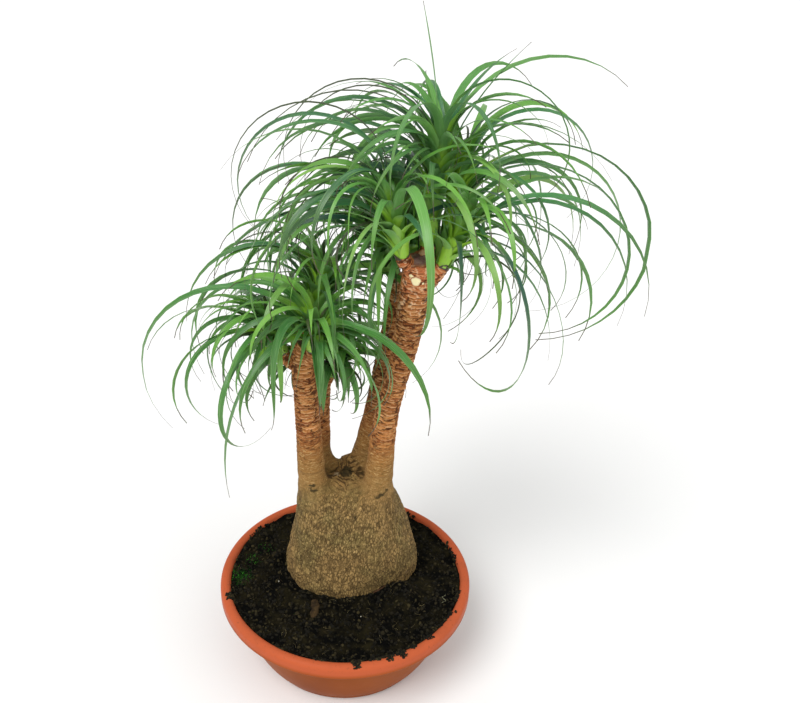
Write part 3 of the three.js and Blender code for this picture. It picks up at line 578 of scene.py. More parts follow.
# place, half sizes, how far it stands out, how dark and how pale it is
MARKS = [
    ((-2, 40, 262), (22, 15, 14), 9.0, 0.0, 0.0),
    ((-3, 14, 258), (24, 17, 16), 8.0, 0.0, 0.0),
    # the knot's hollow, darkened as painted shade
    ((-3, 20, 268), (8, 8, 9), -5.0, 0.5, 0.0),
    ((-16, 18, 266), (6, 7, 7), 2.0, 0.0, 0.85),
    ((8, 22, 268), (4, 6, 6), 2.0, 0.0, 0.4),
    ((-42, -18, 272), (7.5, 6, 2.8), 0.6, 0.95, 0.0),
    ((-40, -18, 264), (6, 6, 2.6), 0.4, 0.95, 0.0),
    ((-46, -18, 267), (5, 6, 1.6), 0.2, 0.85, 0.0),
    ((38, -18, 258), (5, 8, 2.8), 0.6, 0.8, 0.0),
    ((44, -18, 262), (5, 8, 3.6), 0.6, 0.88, 0.0),
    ((49.5, -17, 268), (3.6, 8, 5), 0.6, 0.8, 0.0),
    ((-13, -15, 240), (4, 6, 9), -1.2, 0.55, 0.0),
    ((12, -20, 226), (4.5, 6, 5), 0.9, 0.7, 0.0),
    ((7, -20, 231), (5, 6, 2), 0.8, 0.0, 0.5),
    ((-14, -24, 203), (9, 6, 1.6), 0.8, 0.0, 0.7),
    ((39, -24, 209), (8, 6, 1.4), 0.8, 0.0, 0.5),
    ((37, -27, 195), (8, 6, 1.4), 0.7, 0.0, 0.45),
    ((-41, -29, 170), (16, 10, 6), 0.4, 0.0, 0.45),
    ((-27, -25, 193), (14, 10, 4), 0.5, 0.0, 0.35),
    ((81, -6, 126), (7, 9, 5), 0.3, 0.0, 0.6),
    # painted shade: the back right stem, half hidden behind the others, and the fork between the stems are
    # darkened
    ((34, 46, 355), (20, 20, 80), 0.0, 0.6, 0.0),
    ((-3, 26, 266), (30, 24, 17), 0.0, 0.55, 0.0),
    # a broad darker patch on the front of the foot
    ((2, -34, 190), (26, 16, 46), 0.0, 0.5, 0.0),
]


def new_tree(name, inputs):
    """Starts a Geometry Nodes tree that takes a mesh and these inputs, and gives back what it is given."""
    tree = bpy.data.node_groups.new(name, "GeometryNodeTree")
    tree.interface.new_socket("Geometry", in_out="OUTPUT", socket_type="NodeSocketGeometry")
    for socket, kind in {"Geometry": "Geometry", **inputs}.items():
        tree.interface.new_socket(socket, in_out="INPUT", socket_type="NodeSocket" + kind)
    return tree, add_node(tree, "NodeGroupInput").outputs


def end_tree(tree, shape, material):
    """Ends a tree in plain geometry of the given material."""
    shape = add_node(tree, "GeometryNodeRealizeInstances", shape)
    shape = add_node(tree, "GeometryNodeSetMaterial", {"Geometry": shape, "Material": material})
    add_node(tree, "NodeGroupOutput", shape)


carving, given = new_tree("bark relief", {"Bark": "Material", **{name: "Float" for name in RELIEF}})
place = add_node(carving, "GeometryNodeInputPosition")
normal = add_node(carving, "GeometryNodeInputNormal")
straight = add_node(carving, "GeometryNodeInputNamedAttribute", "straight", data_type="FLOAT_VECTOR")
scarred = add_node(carving, "GeometryNodeInputNamedAttribute", "scarred", data_type="FLOAT")
cut = add_node(carving, "GeometryNodeInputNamedAttribute", "cut", data_type="FLOAT")

# Each scar is a cell of a stretched Voronoi pattern, tilted like a shingle, with a ragged edge.
scar_size = {0: given["Scar Width"], 1: given["Scar Width"], 2: given["Scar Height"]}
scar_cell = add_node(carving, "ShaderNodeCombineXYZ", scar_size)
scar_place = add_node(carving, "ShaderNodeVectorMath", straight, scar_cell, operation="DIVIDE")
ragged = add_node(carving, "ShaderNodeTexNoise", {"Vector": straight, "Scale": 110.0, "Detail": 3.0})
ragged = add_node(
    carving, "ShaderNodeVectorMath", ragged.outputs["Color"], (0.5, 0.5, 1.15), scar_place,
    operation="MULTIPLY_ADD",
)
scar_edge = add_node(
    carving, "ShaderNodeTexVoronoi", {"Vector": ragged, "Scale": 1.0, "Randomness": 0.75},
    feature="DISTANCE_TO_EDGE",
)
scar_cells = add_node(
    carving, "ShaderNodeTexVoronoi", {"Vector": ragged, "Scale": 1.0, "Randomness": 0.75}, feature="F1"
)
plate = add_node(carving, "ShaderNodeMapRange", scar_edge, 0.0, 0.11, interpolation_type="SMOOTHSTEP")
in_cell = add_node(
    carving, "ShaderNodeVectorMath", ragged, scar_cells.outputs["Position"], operation="SUBTRACT"
)
in_cell = add_node(carving, "ShaderNodeSeparateXYZ", in_cell)
shingle = add_node(carving, "ShaderNodeMath", in_cell.outputs[2], -0.55, 0.55, operation="MULTIPLY_ADD")
shingle = add_node(carving, "ShaderNodeMath", shingle, plate, operation="MULTIPLY")
# lip: the proud lower edge of each scar, kept so that a painted highlight can be laid there
lip = add_node(carving, "ShaderNodeMath", shingle, scarred, operation="MULTIPLY")
shingle = add_node(carving, "ShaderNodeMath", shingle, 0.4, operation="SUBTRACT")
shingle = add_node(carving, "ShaderNodeMath", shingle, given["Scar Depth"], operation="MULTIPLY")
relief = add_node(carving, "ShaderNodeMath", shingle, scarred, operation="MULTIPLY")

# Lumps and furrows on the foot: a furrow is where a stretched noise crosses its middle value.
smooth_skin = add_node(carving, "ShaderNodeMath", 1.0, scarred, operation="SUBTRACT")
lump_scale = add_node(carving, "ShaderNodeMath", 1.0, given["Lump Size"], operation="DIVIDE")
lumps = add_node(
    carving, "ShaderNodeTexNoise", {"Vector": place, "W": given["Seed"], "Scale": lump_scale, "Detail": 3.0},
    noise_dimensions="4D",
)
lumps = add_node(carving, "ShaderNodeMath", lumps, 0.5, operation="SUBTRACT")
lump_depth = add_node(
    carving, "ShaderNodeMath", smooth_skin, given["Lump Depth"], 0.0012, operation="MULTIPLY_ADD"
)
relief = add_node(carving, "ShaderNodeMath", lumps, lump_depth, relief, operation="MULTIPLY_ADD")
furrow_size = {0: given["Furrow Width"], 1: given["Furrow Width"], 2: given["Furrow Length"]}
furrow_cell = add_node(carving, "ShaderNodeCombineXYZ", furrow_size)
furrow_place = add_node(carving, "ShaderNodeVectorMath", place, furrow_cell, operation="DIVIDE")
furrows = add_node(
    carving, "ShaderNodeTexNoise",
    {"Vector": furrow_place, "W": given["Seed"], "Scale": 0.8, "Detail": 2.0, "Distortion": 0.5},
    noise_dimensions="4D",
)
furrows = add_node(carving, "ShaderNodeMath", furrows, 0.5, 0.045, operation="COMPARE")
high = add_node(carving, "ShaderNodeSeparateXYZ", place).outputs[2]
on_foot = add_node(carving, "ShaderNodeMapRange", high, 0.3, 0.225, interpolation_type="SMOOTHSTEP")
furrows = add_node(carving, "ShaderNodeMath", furrows, on_foot, operation="MULTIPLY")
furrow_drop = add_node(carving, "ShaderNodeMath", furrows, given["Furrow Depth"], operation="MULTIPLY")
relief = add_node(carving, "ShaderNodeMath", relief, furrow_drop, operation="SUBTRACT")

# Gnarled wood: folds that run round the knot in the fork, their hollows painted dark as shade. A wave's
# length is pi / 10 over its scale.
from_knot = add_node(carving, "ShaderNodeVectorMath", place, [v * MM for v in KNOT], operation="SUBTRACT")
knot_gap = add_node(carving, "ShaderNodeVectorMath", from_knot, operation="LENGTH")
gnarled = add_node(
    carving, "ShaderNodeMapRange", knot_gap.outputs["Value"], GNARLED[1] * MM, GNARLED[0] * MM,
    interpolation_type="SMOOTHSTEP",
)
fold_scale = add_node(carving, "ShaderNodeMath", math.pi / 10, given["Fold Spacing"], operation="DIVIDE")
folds = add_node(
    carving, "ShaderNodeTexWave",
    {"Vector": from_knot, "Scale": fold_scale, "Distortion": 5.0, "Detail": 2.0, "Detail Scale": 0.6},
    wave_type="RINGS", rings_direction="SPHERICAL",
)
folds = add_node(carving, "ShaderNodeMath", folds.outputs["Fac"], 0.55, operation="SUBTRACT")
folds = add_node(carving, "ShaderNodeMath", folds, gnarled, operation="MULTIPLY")
# the folds' hollows, kept so that painted shade can be laid in them
fold_shade = add_node(carving, "ShaderNodeMath", folds, -2.0, operation="MULTIPLY")
relief = add_node(carving, "ShaderNodeMath", folds, given["Fold Depth"], relief, operation="MULTIPLY_ADD")

# Single marks: the knot's mound and hollow, healed scars, pale wrinkles, a lichen patch, painted shade in the
# knot's hollow, over the fork between the stems and down the back right stem, and a darker patch on the front
# of the foot
wobble = add_node(carving, "ShaderNodeTexNoise", {"Vector": place, "Scale": 190.0, "Detail": 2.0})
wobbly = add_node(
    carving, "ShaderNodeVectorMath", wobble.outputs["Color"], (0.005, 0.005, 0.005), place,
    operation="MULTIPLY_ADD",
)
dark = 0.0
pale = 0.0
for middle, half_sizes, proud, darkness, paleness in MARKS:
    shift = [(v + 2.5) * MM for v in middle]
    off = add_node(carving, "ShaderNodeVectorMath", wobbly, shift, operation="SUBTRACT")
    off = add_node(carving, "ShaderNodeVectorMath", off, [v * MM for v in half_sizes], operation="DIVIDE")
    off = add_node(carving, "ShaderNodeVectorMath", off, operation="LENGTH")
    share = add_node(
        carving, "ShaderNodeMapRange", off.outputs["Value"], 1.25, 0.55, interpolation_type="SMOOTHSTEP"
    )
    relief = add_node(carving, "ShaderNodeMath", share, proud * MM, relief, operation="MULTIPLY_ADD")
    dark = add_node(carving, "ShaderNodeMath", share, darkness, dark, operation="MULTIPLY_ADD")
    pale = add_node(carving, "ShaderNodeMath", share, paleness, pale, operation="MULTIPLY_ADD")

# Cut ends: dried fibre ends a little above and below the saw line
ends = add_node(carving, "ShaderNodeTexNoise", {"Vector": place, "Scale": 300.0, "Detail": 3.0})
ends = add_node(carving, "ShaderNodeMath", ends, 0.005, -0.003, operation="MULTIPLY_ADD")
relief = add_node(carving, "ShaderNodeMath", ends, cut, relief, operation="MULTIPLY_ADD")
raised = add_node(carving, "ShaderNodeVectorMath", {0: normal, "Scale": relief}, operation="SCALE")
shape = add_node(carving, "GeometryNodeSetPosition", {"Geometry": given["Geometry"], "Offset": raised})
# gaps: the recesses between the scars, kept so that painted shade can be laid there
gaps = add_node(carving, "ShaderNodeMath", 1.0, plate, operation="SUBTRACT")
gaps = add_node(carving, "ShaderNodeMath", gaps, scarred, operation="MULTIPLY")
tone = add_node(carving, "FunctionNodeSeparateColor", scar_cells.outputs["Color"])
for name, value in [
    ("gaps", gaps), ("lip", lip), ("furrows", furrows), ("tone", tone), ("fold_shade", fold_shade), ("dark", dark),
    ("pale", pale), ("foot_share", on_foot),
]:
    shape = add_node(
        carving, "GeometryNodeStoreNamedAttribute", {"Geometry": shape, "Name": name, "Value": value},
        data_type="FLOAT",
    )
end_tree(carving, shape, given["Bark"])

# Cork: a dry, dull bark. It is olive brown on the foot, with fine upright furrows, and turns red-brown up
# the stems, where each leaf scar's jutting lip is painted pale as a highlight and the gaps between the scars
# are painted dark as shade.
CORK = {
    "foot": "#997b4a", "foot_olive": "#7d6e40", "foot_light": "#b4935a", "low_stem": "#936936",
    "scar_dark": "#84451f", "scar_light": "#c07e44", "gap": "#41200c", "lip": "#efb985", "furrow": "#4e3c20",
    "fleck": "#cfac72", "shade": "#412f16", "mark": "#322a14", "pale": "#c0a884", "high": "#cf7548",
    "chip": "#eec9a0", "cut": "#6b4a46", "cut_light": "#a07f78",
}
# how wide and how high a fibre of the foot and a thread between the scars are
FOOT_FIBRE = (0.0024, 0.0024, 0.0058)
SCAR_THREAD = (0.006, 0.006, 0.0018)
cork, tree, shader = new_material("corky bark")
place = add_node(tree, "ShaderNodeTexCoord").outputs["Object"]
known = {
    name: add_node(tree, "ShaderNodeAttribute", attribute_name=name).outputs["Fac"]
    for name in ("scarred", "gaps", "lip", "furrows", "tone", "fold_shade", "dark", "pale", "cut", "foot_share")
}
straight = add_node(tree, "ShaderNodeAttribute", attribute_name="straight").outputs["Vector"]
broad = add_node(tree, "ShaderNodeTexNoise", {"Vector": place, "Scale": 18.0, "Detail": 4.0})
mottle = add_node(
    tree, "ShaderNodeTexNoise", {"Vector": place, "Scale": 85.0, "Detail": 5.0, "Roughness": 0.65}
)
upright = add_node(tree, "ShaderNodeVectorMath", place, [1 / v for v in FOOT_FIBRE], operation="MULTIPLY")
fibres = add_node(
    tree, "ShaderNodeTexNoise",
    {"Vector": upright, "Scale": 1.0, "Detail": 4.0, "Roughness": 0.7, "Distortion": 1.2},
)
crackle = add_node(
    tree, "ShaderNodeVectorMath", fibres.outputs["Color"], (0.9, 0.9, 0.9), upright,
    operation="MULTIPLY_ADD",
)
crackle = add_node(
    tree, "ShaderNodeTexVoronoi", {"Vector": crackle, "Scale": 0.8}, feature="DISTANCE_TO_EDGE"
)
crackle = add_node(tree, "ShaderNodeMapRange", crackle, 0.17, 0.02)
crackle = add_node(tree, "ShaderNodeMath", crackle, known["foot_share"], operation="MULTIPLY")
patchy = add_node(tree, "ShaderNodeMapRange", mottle, 0.35, 0.55, 0.4)
crackle = add_node(tree, "ShaderNodeMath", crackle, patchy, operation="MULTIPLY")
level = add_node(tree, "ShaderNodeVectorMath", straight, [1 / v for v in SCAR_THREAD], operation="MULTIPLY")
threads = add_node(
    tree, "ShaderNodeTexNoise",
    {"Vector": level, "Scale": 1.0, "Detail": 4.0, "Roughness": 0.68, "Distortion": 1.0},
)
strands = add_node(tree, "ShaderNodeMix", {0: known["foot_share"], 2: threads, 3: fibres}, data_type="FLOAT")
height = add_node(tree, "ShaderNodeSeparateXYZ", place).outputs[2]
climb = add_node(tree, "ShaderNodeMath", mottle, 0.06, height, operation="MULTIPLY_ADD")
chips = add_node(
    tree, "ShaderNodeTexNoise", {"Vector": place, "Scale": 150.0, "Detail": 2.0, "Roughness": 0.6}
)
pale_bits = add_node(tree, "ShaderNodeMath", strands, known["pale"], operation="MULTIPLY")
pale_bits = add_node(tree, "ShaderNodeMath", pale_bits, 2.2, operation="MULTIPLY")
dark_bits = add_node(tree, "ShaderNodeMath", strands, -0.8, known["dark"], operation="MULTIPLY_ADD")
dark_bits = add_node(tree, "ShaderNodeMath", dark_bits, 0.4, operation="ADD")
newer = add_node(tree, "ShaderNodeMapRange", climb, 0.545, 0.6)
flaking = add_node(tree, "ShaderNodeMapRange", climb, 0.38, 0.56)
chips = add_node(tree, "ShaderNodeMath", chips, flaking, operation="MULTIPLY")


def layered(tree, colour, tones, rows):
    """Lays tones over a colour. A row says what the share of its tone is read from, where it starts and
    where it is full, how much of it there is at most, and which tone it is."""
    for source, start, full, most, name in rows:
        steps = {0: source, 1: start, 2: full, 4: most}
        share = add_node(tree, "ShaderNodeMapRange", steps, interpolation_type="SMOOTHSTEP")
        tone = linear(tones[name]) if isinstance(tones[name], str) else tones[name]
        colour = add_node(tree, "ShaderNodeMix", {0: share, 6: colour, 7: tone}, data_type="RGBA")
    return colour


scars = add_node(
    tree, "ShaderNodeMix", {0: known["tone"], 6: linear(CORK["scar_dark"]), 7: linear(CORK["scar_light"])},
    data_type="RGBA",
)
colour = layered(tree, linear(CORK["foot"]), {**CORK, "scars": scars}, [
    (broad, 0.42, 0.62, 0.9, "foot_olive"),
    (mottle, 0.5, 0.7, 0.7, "foot_light"),
    # painted light: the foot is painted paler towards its bottom
    (climb, 0.2, 0.12, 0.55, "foot_light"),
    (climb, 0.25, 0.35, 1.0, "low_stem"),
    (known["scarred"], 0.0, 1.0, 1.0, "scars"),
    (strands, 0.51, 0.67, 0.75, "fleck"),
    (crackle, 0.1, 0.9, 0.8, "furrow"),
    (strands, 0.46, 0.32, 0.85, "shade"),
    (known["furrows"], 0.0, 1.0, 0.55, "furrow"),
    # painted shade in the hollows of the knot's folds
    (known["fold_shade"], 0.0, 0.6, 0.9, "shade"),
    (newer, 0.0, 1.0, 0.7, "high"),
    (chips, 0.52, 0.62, 0.65, "chip"),
    # painted highlight on the scars' lips, and painted shade in the gaps between the scars
    (known["lip"], 0.5, 0.85, 0.75, "lip"),
    (known["gaps"], 0.12, 0.85, 0.85, "gap"),
    (pale_bits, 0.55, 1.1, 0.8, "pale"),
    (dark_bits, 0.5, 0.9, 0.9, "mark"),
])
ends = add_node(tree, "ShaderNodeMapRange", mottle, 0.35, 0.65)
ends = add_node(
    tree, "ShaderNodeMix", {0: ends, 6: linear(CORK["cut"]), 7: linear(CORK["cut_light"])}, data_type="RGBA"
)
colour = add_node(tree, "ShaderNodeMix", {0: known["cut"], 6: colour, 7: ends}, data_type="RGBA")
grain = add_node(tree, "ShaderNodeMath", crackle, -0.5, strands, operation="MULTIPLY_ADD")
grain = add_node(tree, "ShaderNodeBump", {"Strength": 1.0, "Distance": 0.0013, "Height": grain})
feed(shader, {"Base Color": colour, "Normal": grain, "Roughness": 0.9, "Specular IOR Level": 0.25})


def worked(name, source, tree, inputs):
    """Runs a Geometry Nodes tree with these inputs on an object, and keeps what it makes as a piece."""
    work = source.modifiers.new(tree.name, "NODES")
    work.node_group = tree
    for item in tree.interface.items_tree:
        if item.name in inputs:
            work[item.identifier] = inputs[item.name]
    return finished_copy(name, source)


trunk = worked("trunk_bark", bark_blank, carving, {**RELIEF, "Bark": cork})
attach(trunk, "root")
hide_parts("trunk")

# Bud scars, high on the front right stem: the round stump of a bud that was cut off, and two small ones. The
# cut has healed into cream-coloured cork inside a reddish rim.
# place, compass way it faces, radius, how far it stands out
BUD_SCARS = [
    ((73.2, -20.9, 560.6), -95, 6.0, 1.6), ((68.0, -19.4, 565.2), -115, 3.2, 0.8),
    ((81.0, -19.6, 557.3), -68, 1.7, 0.7),
]
# share of the radius, share of the height it stands out, how reddish it is
BUD_PROFILE = [
    (0.85, -3.0, 1.0), (1.0, 0.0, 1.0), (0.94, 0.5, 0.9), (0.82, 0.82, 0.35), (0.6, 0.7, 0.05),
    (0.3, 0.95, 0.0),
]
BUD_WAYS = 28
BUD_TONES = {"cork": "#fbeebc", "rim": "#a9592f"}
healed, tree, shader = new_material("healed cork of a bud scar")
place = add_node(tree, "ShaderNodeTexCoord").outputs["Object"]
reddish = add_node(tree, "ShaderNodeAttribute", attribute_name="reddish").outputs["Fac"]
crumble = add_node(tree, "ShaderNodeTexNoise", {"Vector": place, "Scale": 420.0, "Detail": 4.0})
reddish = add_node(tree, "ShaderNodeMath", crumble, 0.5, reddish, operation="MULTIPLY_ADD")
reddish = add_node(tree, "ShaderNodeMapRange", reddish, 0.3, 1.2)
colour = add_node(
    tree, "ShaderNodeMix", {0: reddish, 6: linear(BUD_TONES["cork"]), 7: linear(BUD_TONES["rim"])},
    data_type="RGBA",
)
dents = add_node(tree, "ShaderNodeBump", {"Strength": 0.7, "Distance": 0.0006, "Height": crumble})
feed(shader, {"Base Color": colour, "Normal": dents, "Roughness": 0.75})


def level_way(compass):
    """The level direction at a compass angle in degrees."""
    return np.array([math.cos(math.radians(compass)), math.sin(math.radians(compass)), 0])


for number, (place, compass, radius, proud) in enumerate(BUD_SCARS):
    facing = level_way(compass)
    across = np.array([-facing[1], facing[0], 0])
    turns = full_turn(BUD_WAYS)
    ring = np.cos(turns)[:, None] * across + np.sin(turns)[:, None] * np.array([0, 0, 1])
    ring *= (1 + 0.07 * np.sin(3 * turns + number) + 0.05 * np.sin(5 * turns))[:, None]
    rings = np.stack([place + ring * radius * wide + facing * proud * high for wide, high, _ in BUD_PROFILE])
    red = np.append(np.repeat([red for _, _, red in BUD_PROFILE], BUD_WAYS), [1.0, 0.0])
    bud_mesh = closed_skin(
        "bud_scar", rings, place - 3 * proud * facing, place + proud * facing, reddish=red
    )
    bud_mesh.materials.append(healed)
    bud_scar = show("bud_scar_%d" % (number + 1), bud_mesh)
    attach(bud_scar, "root")
    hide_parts("trunk")

# The soil: dark peat, pressed in by hand up to just under the rim and heaped a little against the foot. It
# stands in the bowl as one body with a socket for the foot.
PEAT_WAYS = 300
PEAT_RINGS = 56
PEAT = {"level": 106.0, "edge": 110.0, "wall_gap": 0.6, "socket_gap": 3.5, "lump": 1.8, "ripple": 1.08}
SOCKET_LEVELS = (60.5, 75.0, 90.0, 100.0)
# place, how wide and how high the peat is heaped
HEAPS = [
    ((71, -33), 22, 20.0), ((22, -54), 18, 5.0), ((-44, -34), 20, 1.5), ((-118, 40), 26, 2.0),
    ((95, 60), 30, 1.5),
]
PEAT_RELIEF = {
    "Clod Size": 0.019, "Clod Height": 0.0105, "Grain Size": 0.0042, "Grain Height": 0.0026, "Seed": 7.0
}


def peat_height(x, y):
    """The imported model's gentle lumps, with the heaps against the foot."""
    lumps = np.sin(0.11 * x + 0.05 * y) * np.sin(0.12 * y - 0.04 * x + 2)
    z = PEAT["level"] + PEAT["lump"] * lumps + PEAT["ripple"] * np.sin(0.21 * x - 0.16 * y + 1)
    for (heap_x, heap_y), width, rise in HEAPS:
        z = z + rise * np.exp(-((x - heap_x) ** 2 + (y - heap_y) ** 2) / width ** 2)
    return z


angles = full_turn(PEAT_WAYS)
peat_ways = np.stack([np.cos(angles), np.sin(angles), np.zeros(PEAT_WAYS)], axis=1)


def socket_ring(z):
    """A ring of the socket that the foot stands in, a little inside the bark so that no gap shows."""
    return skin_points(foot_middle(z), peat_ways, RAY["foot"]) - PEAT["socket_gap"] * peat_ways


mouth = BOWL_NECK["mouth"] - PEAT["wall_gap"]
inner = socket_ring(PEAT["level"] + 1.0)
reach = -(inner * peat_ways).sum(axis=1)
reach += np.sqrt(reach ** 2 + mouth ** 2 - (inner[:, :2] ** 2).sum(axis=1))
peat_rings = [socket_ring(z) for z in SOCKET_LEVELS]
for share in np.linspace(0, 1, PEAT_RINGS):
    ring = inner + (reach * share)[:, None] * peat_ways
    ring[:, 2] = peat_height(ring[:, 0], ring[:, 1])
    at_wall = np.clip((share - 0.9) / 0.1, 0, 1)
    ring[:, 2] += at_wall * (PEAT["edge"] - ring[:, 2])
    peat_rings.append(ring)
outer_turn = np.arctan2(peat_rings[-1][:, 1], peat_rings[-1][:, 0])
for z in [BOWL["height"] - 9, *np.linspace(BOWL_NECK["height"], BOWL["floor"] + 7, 7)]:
    radius = min(mouth, float(wall_radius(z)) - BOWL["wall"] - PEAT["wall_gap"])
    ring = np.stack(
        [radius * np.cos(outer_turn), radius * np.sin(outer_turn), np.full(PEAT_WAYS, z)], axis=1
    )
    peat_rings.append(ring)
peat_middles = (FOOT[0][1], CENTRE_Y, SOCKET_LEVELS[0]), (0, 0, BOWL["floor"] + 0.6)
top_points = slice(len(SOCKET_LEVELS) * PEAT_WAYS, (len(SOCKET_LEVELS) + PEAT_RINGS) * PEAT_WAYS)
is_top = np.zeros(len(peat_rings) * PEAT_WAYS + len(peat_middles))
is_top[top_points] = 1
peat_mesh = closed_skin("peat_body", np.stack(peat_rings), *peat_middles, outward=False, top=is_top)
peat_blank = show("peat_blank", peat_mesh)

heaving, given = new_tree("peat relief", {"Peat": "Material", **{name: "Float" for name in PEAT_RELIEF}})
place = add_node(heaving, "GeometryNodeInputPosition")
top = add_node(heaving, "GeometryNodeInputNamedAttribute", "top", data_type="FLOAT")
rise = 0.0
for size, height in [("Clod Size", "Clod Height"), ("Grain Size", "Grain Height")]:
    fineness = add_node(heaving, "ShaderNodeMath", 1.0, given[size], operation="DIVIDE")
    noise = add_node(
        heaving, "ShaderNodeTexNoise",
        {"Vector": place, "W": given["Seed"], "Scale": fineness, "Detail": 2.0}, noise_dimensions="4D",
    )
    noise = add_node(heaving, "ShaderNodeMath", noise, 0.5, operation="SUBTRACT")
    rise = add_node(heaving, "ShaderNodeMath", noise, given[height], rise, operation="MULTIPLY_ADD")
rise = add_node(heaving, "ShaderNodeMath", rise, top, operation="MULTIPLY")
lift = add_node(heaving, "ShaderNodeCombineXYZ", {2: rise})
shape = add_node(heaving, "GeometryNodeSetPosition", {"Geometry": given["Geometry"], "Offset": lift})
end_tree(heaving, shape, given["Peat"])

# Peat: moist and matte, nearly black, with brown fibres and a few pale grains
PEAT_TONES = {"dark": "#060605", "brown": "#221e10", "grain": "#5d5433"}
peat, tree, shader = new_material("moist black peat")
place = add_node(tree, "ShaderNodeTexCoord").outputs["Object"]
patches = add_node(
    tree, "ShaderNodeTexNoise", {"Vector": place, "Scale": 52.0, "Detail": 5.0, "Roughness": 0.65}
)
grains = add_node(
    tree, "ShaderNodeTexNoise", {"Vector": place, "Scale": 420.0, "Detail": 4.0, "Roughness": 0.7}
)
brown = add_node(tree, "ShaderNodeMapRange", patches, 0.44, 0.66)
colour = add_node(
    tree, "ShaderNodeMix", {0: brown, 6: linear(PEAT_TONES["dark"]), 7: linear(PEAT_TONES["brown"])},
    data_type="RGBA",
)
speck = add_node(tree, "ShaderNodeMapRange", grains, 0.61, 0.72, 0.0, 0.5)
colour = add_node(
    tree, "ShaderNodeMix", {0: speck, 6: colour, 7: linear(PEAT_TONES["grain"])}, data_type="RGBA"
)
crumbly = add_node(tree, "ShaderNodeBump", {"Strength": 1.0, "Distance": 0.0015, "Height": grains})
feed(shader, {"Base Color": colour, "Normal": crumbly, "Roughness": 0.95, "Specular IOR Level": 0.06})

soil = worked("peat_soil", peat_blank, heaving, {**PEAT_RELIEF, "Peat": peat})
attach(soil, "root")
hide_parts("soil")

# Loose bits on the peat and on the rim: crumbs, root fibres and moss. Each kind is one small shape, strewn
# over a ground mesh by a Geometry Nodes tree where the ground asks for it.
# compass way on the rim, spread to each side, how far out it reaches, and how thick it lies
RIM_SPILLS = [
    (-81.6, 2.4, 163, 1.0), (-71, 4.5, 157, 0.8), (-66.3, 2.0, 162, 1.0), (-60.7, 2.4, 162, 1.0),
    (-53.7, 1.8, 159, 0.9), (-44.2, 2.0, 159, 1.0), (-32, 5.0, 154, 0.5), (-160.3, 2.6, 160, 1.0),
    (-25, 1.6, 158, 0.8), (-12, 4.0, 154, 0.6), (62, 9.0, 155, 0.5), (20, 9.0, 154, 0.5),
    (150, 9.0, 154, 0.4), (-118, 5.0, 154, 0.4), (-99, 4.0, 155, 0.4), (110, 8.0, 154, 0.4),
]
RIM_CROWDING = 24
# place, how far it spreads, how thick it grows
MOSS_PLACES = [((-141, -6), 11, 1.0), ((-128, 25), 8, 0.5), ((-112, 52), 13, 0.12)]
MOSS_LEAST = 0.03
soil_points = np.zeros(len(soil.data.vertices) * 3)
soil.data.vertices.foreach_get("co", soil_points)
ground_points = (soil_points.reshape(-1, 3)[top_points] / MM).tolist()
ground_faces = [face[::-1] for face in ring_faces(PEAT_RINGS, PEAT_WAYS)]
ground_shares = {"crumbs": [1.0] * len(ground_points), "fibres": [1.0] * len(ground_points), "moss": []}
for x, y, _ in ground_points:
    near = [
        most * math.exp(-math.hypot(x - mx, y - my) ** 2 / wide ** 2)
        for (mx, my), wide, most in MOSS_PLACES
    ]
    ground_shares["moss"].append(sum(near) if sum(near) > MOSS_LEAST else 0.0)
RIM_PROFILE = ([150, 152.6, 154.5, 158, 161.5, 164], [110.5, 112, 114.2, 115, 114.4, 111.5])
SPILL_ROWS = 6
SPILL_COLUMNS = 7
for compass, spread, end, density in RIM_SPILLS:
    first = len(ground_points)
    turns = np.radians(np.linspace(compass - spread, compass + spread, SPILL_COLUMNS))
    for radius in np.linspace(BOWL_NECK["radius"], end, SPILL_ROWS):
        rim_height = float(np.interp(radius, *RIM_PROFILE))
        ground_points += [(radius * math.cos(t), radius * math.sin(t), rim_height) for t in turns]
    fade = np.outer(np.linspace(1, 0.25, SPILL_ROWS), 1 - np.linspace(-1, 1, SPILL_COLUMNS) ** 2)
    ground_shares["crumbs"] += (RIM_CROWDING * density * fade).ravel().tolist()
    for name in ("fibres", "moss"):
        ground_shares[name] += [0.0] * (SPILL_ROWS * SPILL_COLUMNS)
    for i in range(SPILL_ROWS - 1):
        for j in range(SPILL_COLUMNS - 1):
            low = first + SPILL_COLUMNS * i + j
            ground_faces.append([low, low + SPILL_COLUMNS, low + SPILL_COLUMNS + 1, low + 1])
ground_mesh = new_mesh("strewn_ground", ground_points, ground_faces, smooth=False, **ground_shares)

